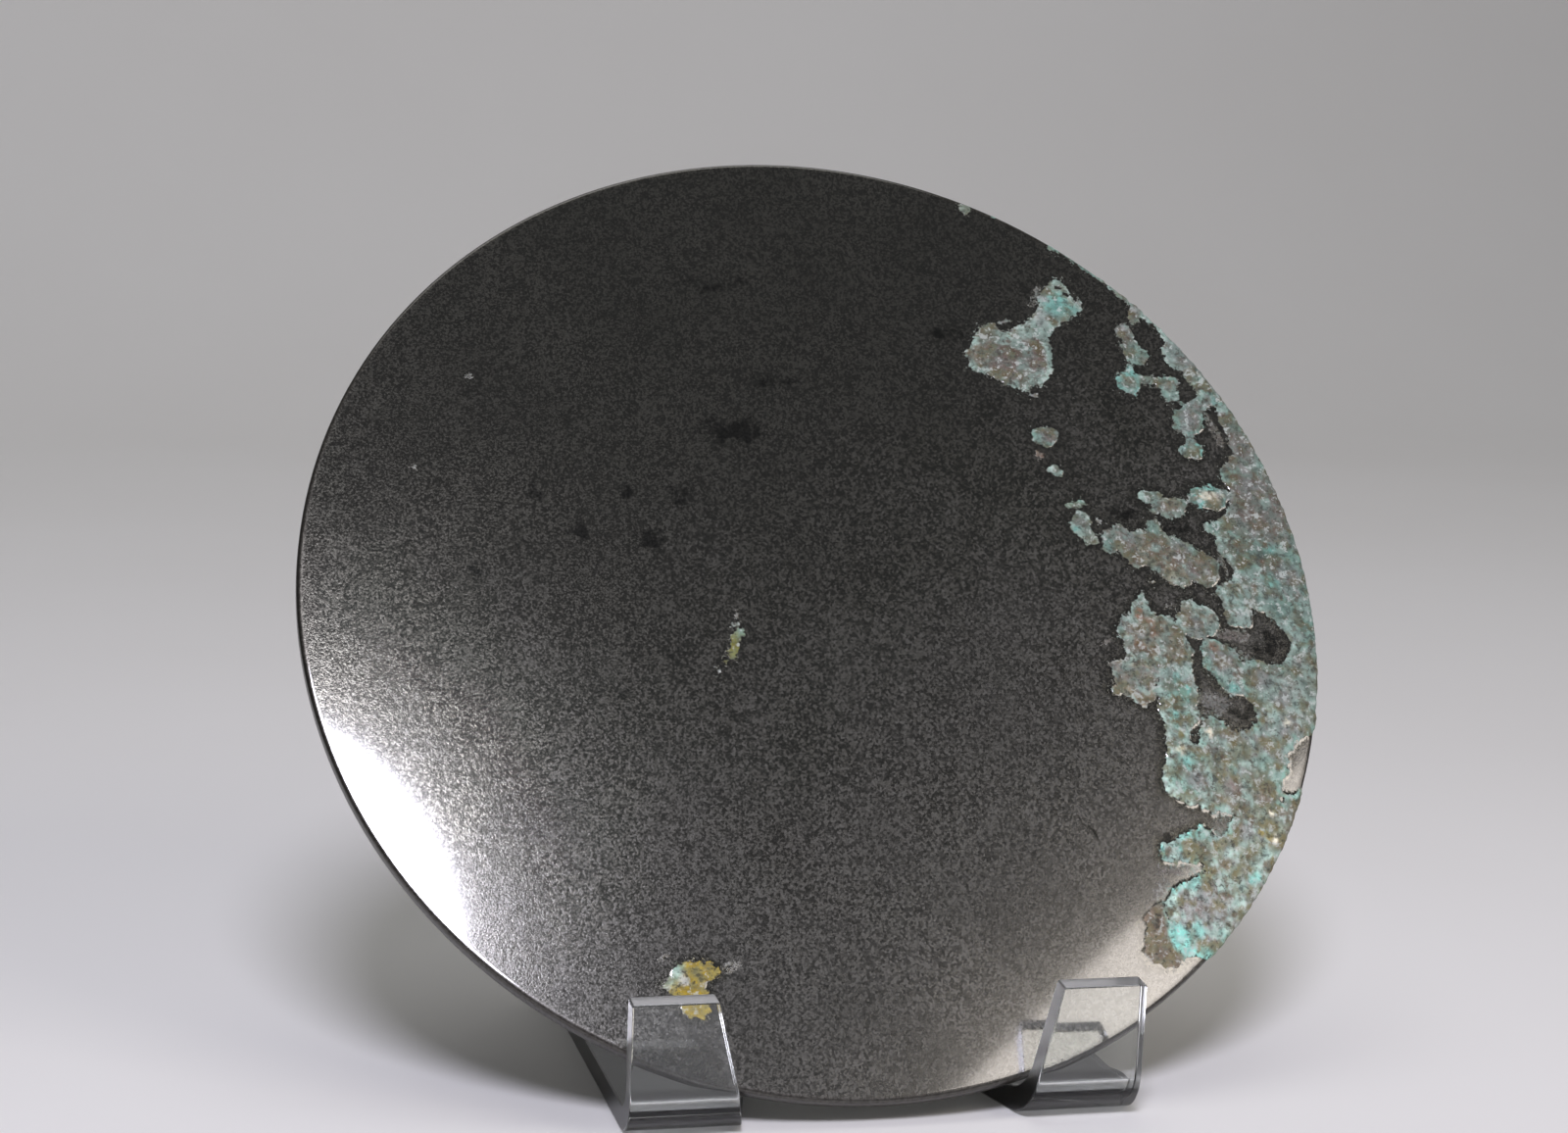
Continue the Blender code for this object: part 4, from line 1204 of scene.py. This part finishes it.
        # The skin's tones, with the grey veil of wear and painted sheen
        for name in ("pale", "fleck", "wear_and_sheen", "cloud", "stained", "edge"):
            skin = add_node(material, "Mix", {0: values[name], 6: skin, 7: linear(getattr(self, name))},
                            data_type="RGBA").outputs[2]
        for name in ("teal_salt", "brown_salt", "white_salt", "pit"):
            salts = add_node(material, "Mix", {0: values[name], 6: salts, 7: linear(getattr(self, name))},
                             data_type="RGBA").outputs[2]
        colour = add_node(material, "Mix", {0: values["cover"], 6: skin, 7: salts}, data_type="RGBA")
        rough = add_node(material, "Mix", {0: values["matt"], 2: values["rough"], 3: self.crust_roughness})
        bump = add_node(material, "Bump", {
            "Height": values["relief"], "Strength": self.relief_strength, "Distance": self.relief_mm * MM})
        shader = add_node(material, "BsdfPrincipled", {
            "Base Color": colour.outputs[2], "Metallic": values["metal"], "Roughness": rough.outputs[0],
            "Normal": bump.outputs["Normal"], "Coat Weight": values["glaze"], "Coat IOR": self.skin_ior,
            "Coat Roughness": self.skin_roughness})
        add_node(material, "OutputMaterial", {"Surface": shader.outputs[0]})
        return material


# The cradle
@dataclass
class ClearCradle:
    """One clear sheet, cut flat and bent twice: two lips, a base and a panel behind. Millimetres, degrees."""

    sheet: float = 5
    width: float = 98.5
    depth: float = 103
    lip_height: float = 26.8
    lip_width: float = 16.2
    lip_lean: float = 4
    bend_radius: float = 5.2
    notch_taper: float = 13.4
    notch_web: float = 28
    notch_round: float = 9
    panel_lean: float = 4
    panel_round: float = 6
    corner_round: float = 0.5
    corner_steps: int = 8
    notch_fill: float = 0.9
    eased_edge: float = 0.35
    edge_steps: int = 3
    bend_steps: int = 16
    smooth_angle: float = 40
    sharp_angle: float = 60
    sawn_slope: float = 0.2
    sawn_tint: str = "#E4E4E0"
    sawn_roughness: float = 0.34

    def __post_init__(self) -> None:
        """Works out where each stretch of the sheet starts, along its middle from the lips' top."""
        self.outer = self.bend_radius + self.sheet
        self.middle = self.bend_radius + self.sheet / 2
        lip, panel = radians(self.lip_lean), radians(self.panel_lean)
        self.front_centre = Vector((self.outer, self.outer))
        self.rear_centre = Vector((self.depth - self.outer, self.outer))
        self.lip_up, self.lip_out = Vector((-sin(lip), cos(lip))), Vector((-cos(lip), -sin(lip)))
        self.panel_up, self.panel_out = Vector((-sin(panel), cos(panel))), Vector((cos(panel), sin(panel)))
        start = self.front_centre + self.lip_out * self.outer
        self.lip_end = (self.lip_height - start.y) / self.lip_up.y
        self.base_start = self.lip_end + self.middle * (pi / 2 - lip)
        self.base_end = self.base_start + self.depth - 2 * self.outer
        self.panel_start = self.base_end + self.middle * (pi / 2 + panel)

    def bent(self, along: float, under: float) -> Vector:
        """Where a point of the flat sheet lies once it is bent.

        Args:
            along: Its distance along the sheet from the lips' top.
            under: Its depth under the sheet's outer face.

        Returns:
            Its place front to back and up.
        """
        radius = self.outer - under
        if along < self.lip_end:
            return self.front_centre + self.lip_out * radius + self.lip_up * (self.lip_end - along)
        if along < self.base_start:
            turn = (along - self.lip_end) / self.middle
            return self.front_centre + (self.lip_out * cos(turn) - self.lip_up * sin(turn)) * radius
        if along < self.base_end:
            return Vector((self.outer + along - self.base_start, under))
        if along < self.panel_start:
            turn = (self.panel_start - along) / self.middle
            return self.rear_centre + (self.panel_out * cos(turn) - self.panel_up * sin(turn)) * radius
        return self.rear_centre + self.panel_out * radius + self.panel_up * (along - self.panel_start)

    def cut_outline(self, length: float) -> bpy.types.Object:
        """Cuts the sheet's outline, with the tapering notch between the lips.

        Args:
            length: How long the flat sheet is.

        Returns:
            The flat outline, in edit mode, with sharp corners.
        """
        inner = self.width / 2 - self.lip_width
        web = self.base_end - self.notch_web
        taper = radians(self.notch_taper)
        deselect_all()
        bpy.ops.mesh.primitive_plane_add(size=1, location=(0, length / 2 * MM, 0))
        piece = bpy.context.object
        piece.scale = (self.width * MM, length * MM, 1)
        apply_transform()
        bpy.ops.object.mode_set(mode="EDIT")
        for hand in (-1, 1):
            cut_across((hand * inner, 0), (hand * cos(taper), sin(taper)))
        cut_across((0, web))

        def in_notch(face: bmesh.types.BMFace) -> bool:
            """True for the face between the lips."""
            centre = face.calc_center_median() / MM
            return centre.y < web and abs(centre.x) < inner - tan(taper) * centre.y

        pick(piece, in_notch, "faces")
        bpy.ops.mesh.delete(type="FACE")
        bpy.ops.mesh.select_all(action="SELECT")
        bpy.ops.mesh.remove_doubles(threshold=0.001 * MM)
        bpy.ops.mesh.select_all(action="SELECT")
        bpy.ops.mesh.dissolve_limited(angle_limit=radians(1))
        return piece

    def round_outline(self, piece: bpy.types.Object, length: float) -> None:
        """Rounds the corners of the panel, the lips and the notch.

        Args:
            piece: The flat outline, in edit mode.
            length: How long the flat sheet is.
        """
        side = self.width / 2
        inner = side - self.lip_width
        web = self.base_end - self.notch_web
        half_end = inner - tan(radians(self.notch_taper)) * web
        notch_round = min(self.notch_round, half_end * self.notch_fill)
        for corner_x, corner_y, radius in (
                (side, length, self.panel_round), (side, 0, self.corner_round),
                (inner, 0, self.corner_round), (half_end, web, notch_round)):
            pick(piece, lambda vert: (abs(abs(vert.co.x) - corner_x * MM) < SNAP * MM
                                      and abs(vert.co.y - corner_y * MM) < SNAP * MM))
            self.round_corners(piece, radius)

    def thicken(self, piece: bpy.types.Object) -> None:
        """Gives the sheet its thickness and eases its edges.

        Args:
            piece: The rounded outline, in edit mode.
        """
        bpy.ops.mesh.select_mode(type="FACE")
        bpy.ops.mesh.select_all(action="SELECT")
        bpy.ops.mesh.extrude_region_move(TRANSFORM_OT_translate={"value": (0, 0, self.sheet * MM)})
        face_outward()
        pick(piece, lambda edge: edge.calc_face_angle(0) > radians(self.sharp_angle) and
             abs(edge.verts[0].co.z - edge.verts[1].co.z) < SNAP * MM, "edges")
        bpy.ops.mesh.bevel(offset=self.eased_edge * MM, segments=self.edge_steps, affect="EDGES")

    def round_corners(self, piece: bpy.types.Object, radius: float) -> None:
        """Rounds the corners of the outline that are selected.

        Args:
            piece: The flat sheet, in edit mode.
            radius: The radius in millimetres.
        """
        bm = bmesh.from_edit_mesh(piece.data)
        corner = next(vert for vert in bm.verts if vert.select)
        sides = [edge.other_vert(corner).co - corner.co for edge in corner.link_edges]
        offset = radius / tan(sides[0].angle(sides[1]) / 2)
        bpy.ops.mesh.bevel(offset=offset * MM, segments=self.corner_steps, affect="VERTICES")

    def build(self) -> bpy.types.Object:
        """Builds, dresses and places the cradle.

        Returns:
            The finished piece.
        """
        low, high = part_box("stand")
        panel_top = (high.z - low.z) / MM
        corner = self.rear_centre + self.panel_out * self.outer
        length = self.panel_start + (panel_top - corner.y) / self.panel_up.y
        piece = self.cut_outline(length)
        piece.name = piece.data.name = "cradle_acrylic"
        self.round_outline(piece, length)
        self.thicken(piece)
        for start, end in ((self.lip_end, self.base_start), (self.base_end, self.panel_start)):
            for step in range(self.bend_steps + 1):
                station = start + (end - start) * step / self.bend_steps
                cut_across((0, station))
        bpy.ops.object.mode_set(mode="OBJECT")
        for face in piece.data.polygons:
            face.material_index = int(abs(face.normal.z) < self.sawn_slope)
        for vert in piece.data.vertices:
            bent = self.bent(vert.co.y / MM, vert.co.z / MM) * MM
            vert.co = (vert.co.x, bent.x, bent.y)
        activate(piece)
        front = min(vert.co.y for vert in piece.data.vertices)
        piece.location = (0, low.y - front, low.z)
        apply_transform()
        bpy.ops.object.mode_set(mode="EDIT")
        face_outward()
        bpy.ops.object.mode_set(mode="OBJECT")
        bpy.ops.object.shade_smooth_by_angle(angle=radians(self.smooth_angle))
        apply_modifier(piece, "WEIGHTED_NORMAL", mode="FACE_AREA", weight=60, keep_sharp=True)
        sawn = ClearAcrylic("sawn_acrylic_edge", self.sawn_tint, self.sawn_roughness)
        for finish in (ClearAcrylic(), sawn):
            piece.data.materials.append(finish.build())
        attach(piece, "root")
        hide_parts("stand")
        return piece


@dataclass(frozen=True)
class ClearAcrylic:
    """Clear cast acrylic: glassy on the faces of the sheet, and satin where it was sawn and scraped."""

    name: str = "clear_acrylic_face"
    tint: str = "#F7FAFA"
    roughness: float = 0.012
    ior: float = 1.49

    def build(self) -> bpy.types.Material:
        """Makes the finish.

        Returns:
            The material.
        """
        material = new_material(self.name)
        shader = add_node(material, "BsdfPrincipled", {
            "Base Color": linear(self.tint), "Roughness": self.roughness, "IOR": self.ior,
            "Transmission Weight": 1.0})
        add_node(material, "OutputMaterial", {"Surface": shader.outputs[0]})
        return material


# The studio
@dataclass(frozen=True)
class SoftLight:
    """A rectangular softbox that faces the disc, given by one long edge. Millimetres.

    start and end are the ends of the edge that shows in the mirror, beside is a point past that edge, and
    reach is how far the box goes the other way. A bulge makes it a round box, whose edge bows out by that
    much between the two ends.
    """

    name: str
    start: tuple[float, float, float]
    end: tuple[float, float, float]
    beside: tuple[float, float, float]
    reach: float
    radiance: float
    tint: str = "#FFFFFF"
    bulge: float = 0

    def place(self, target: Vector) -> None:
        """Adds the light.

        Args:
            target: The point that it faces.
        """
        start, end = Vector(self.start) * MM, Vector(self.end) * MM
        along = (end - start).normalized()
        middle = (start + end) / 2
        facing = target - middle
        facing = (facing - along * facing.dot(along)).normalized()
        across = along.cross(facing)
        if across.dot(Vector(self.beside) * MM - middle) > 0:
            across = -across
        width, height, out = (end - start).length, self.reach * MM, self.bulge * MM
        data = bpy.data.lights.new(self.name, "AREA")
        data.shape, data.size, data.size_y = "RECTANGLE", width, height
        area = width * height
        if self.bulge:
            height = (width ** 2 / 4 + out ** 2) / out
            data.shape, data.size = "DISK", height
            area = pi * height ** 2 / 4
        data.energy = self.radiance * pi * area
        data.color = linear(self.tint)[:3]
        light = bpy.data.objects.new(self.name, data)
        bpy.context.collection.objects.link(light)
        turn = Matrix((along, (-facing).cross(along), -facing)).transposed().to_4x4()
        light.matrix_world = Matrix.Translation(middle + across * (height / 2 - out)) @ turn


@dataclass
class Studio:
    """Pale floor, soft light and the photograph's camera. Lengths in millimetres, angles in degrees."""

    world_level: float = 0.1
    world_tint: str = "#F4F6FA"
    focal: float = 72.91
    sensor: float = 36
    yaw: float = 12.992
    pitch: float = 8.363
    roll: float = -1.307
    eye: tuple[float, float, float] = (-149.97, -614.62, 190.36)
    floor_width: float = 6000
    floor_back: float = 1700
    floor_front: float = 2600
    wall_height: float = 2200
    sweep: float = 600
    sweep_steps: int = 24
    key: SoftLight = SoftLight("key_dish", (-44, -671, 1067.5), (14.5, -760, 987.5), (1000, -500, 1000),
                               0, 31, "#EFEEFF", 12.3)
    panel: SoftLight = SoftLight("side_panel", (324, -847, 856), (769, -475, 1035), (300, -300, 2000),
                                 380, 3.8, "#FFF6EE")
    top: SoftLight = SoftLight("overhead", (-700, -100, 1900), (700, -100, 1900), (0, -2000, 1900), 1300, 1.6)
    top_target: tuple[float, float, float] = (0, 400, 0)

    def camera(self) -> None:
        """Sets up the camera where the photograph was taken from."""
        yaw, pitch, roll = radians(self.yaw), radians(self.pitch), radians(self.roll)
        ahead = Vector((sin(yaw), cos(yaw), 0)) * cos(pitch) - Vector((0, 0, sin(pitch)))
        level = Vector((cos(yaw), -sin(yaw), 0))
        down = ahead.cross(level)
        right = level * cos(roll) + down * sin(roll)
        down = down * cos(roll) - level * sin(roll)
        data = bpy.data.cameras.new("photograph_view")
        data.lens, data.sensor_width, data.sensor_fit = self.focal, self.sensor, "HORIZONTAL"
        camera = bpy.data.objects.new("photograph_view", data)
        bpy.context.collection.objects.link(camera)
        turn = Matrix((right, -down, -ahead)).transposed().to_4x4()
        camera.matrix_world = Matrix.Translation(Vector(self.eye) * MM) @ turn
        bpy.context.scene.camera = camera

    def floor(self) -> None:
        """Adds the pale floor, which sweeps up into a backdrop behind the object."""
        deselect_all()
        length, middle = self.floor_front + self.floor_back, (self.floor_back - self.floor_front) / 2
        bpy.ops.mesh.primitive_plane_add(size=1, location=(0, middle * MM, 0))
        floor = bpy.context.object
        floor.name = floor.data.name = "studio_floor"
        floor.scale = (self.floor_width * MM, length * MM, 1)
        apply_transform()
        bpy.ops.object.mode_set(mode="EDIT")
        back = (self.floor_back - 1) * MM
        pick(floor, lambda edge: all(vert.co.y > back for vert in edge.verts), "edges")
        bpy.ops.mesh.extrude_region_move(TRANSFORM_OT_translate={"value": (0, 0, self.wall_height * MM)})
        pick(floor, lambda edge: all(vert.co.y > back and vert.co.z < MM for vert in edge.verts), "edges")
        bpy.ops.mesh.bevel(offset=self.sweep * MM, segments=self.sweep_steps, affect="EDGES")
        bpy.ops.object.mode_set(mode="OBJECT")
        bpy.ops.object.shade_smooth()
        floor.data.materials.append(PaperSweep().build())

    def build(self, target: Vector) -> None:
        """Sets up the whole studio.

        Args:
            target: The middle of the object, which the lights face.
        """
        scene = bpy.context.scene
        world = bpy.data.worlds.new("dim_studio")
        scene.world = world
        world.use_nodes = True
        world.node_tree.nodes.clear()
        background = add_node(world, "Background", {
            "Color": linear(self.world_tint), "Strength": self.world_level})
        add_node(world, "OutputWorld", {"Surface": background.outputs[0]})
        scene.view_settings.view_transform = "Standard"
        self.camera()
        self.floor()
        self.key.place(target)
        self.panel.place(target)
        self.top.place(Vector(self.top_target) * MM)


@dataclass(frozen=True)
class PaperSweep:
    """Pale seamless background paper, matt, with the slightest unevenness."""

    light: str = "#F1F0ED"
    dark: str = "#E9E7E3"
    roughness: float = 0.85
    clouds_per_metre: float = 3

    def build(self) -> bpy.types.Material:
        """Makes the finish.

        Returns:
            The material.
        """
        material = new_material("matt_background_paper")
        coordinates = add_node(material, "TexCoord").outputs["Object"]
        clouds = add_node(material, "TexNoise", {
            "Vector": coordinates, "Scale": self.clouds_per_metre, "Detail": 4})
        colour = add_node(material, "Mix", {0: clouds.outputs["Fac"], 6: linear(self.light),
                                            7: linear(self.dark)}, data_type="RGBA")
        shader = add_node(material, "BsdfPrincipled", {
            "Base Color": colour.outputs[2], "Roughness": self.roughness})
        add_node(material, "OutputMaterial", {"Surface": shader.outputs[0]})
        return material


def main() -> None:
    """Builds the studio and both pieces."""
    logging.basicConfig(level=logging.INFO, format="%(message)s")
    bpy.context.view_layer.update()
    low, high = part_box("mirror")
    Studio().build((low + high) / 2)
    for maker in (ClearCradle(), BronzeMirror()):
        piece = maker.build()
        piece.data.calc_loop_triangles()
        log.info("%s: %d triangles", piece.name, len(piece.data.loop_triangles))


if __name__ == "__main__":
    main()
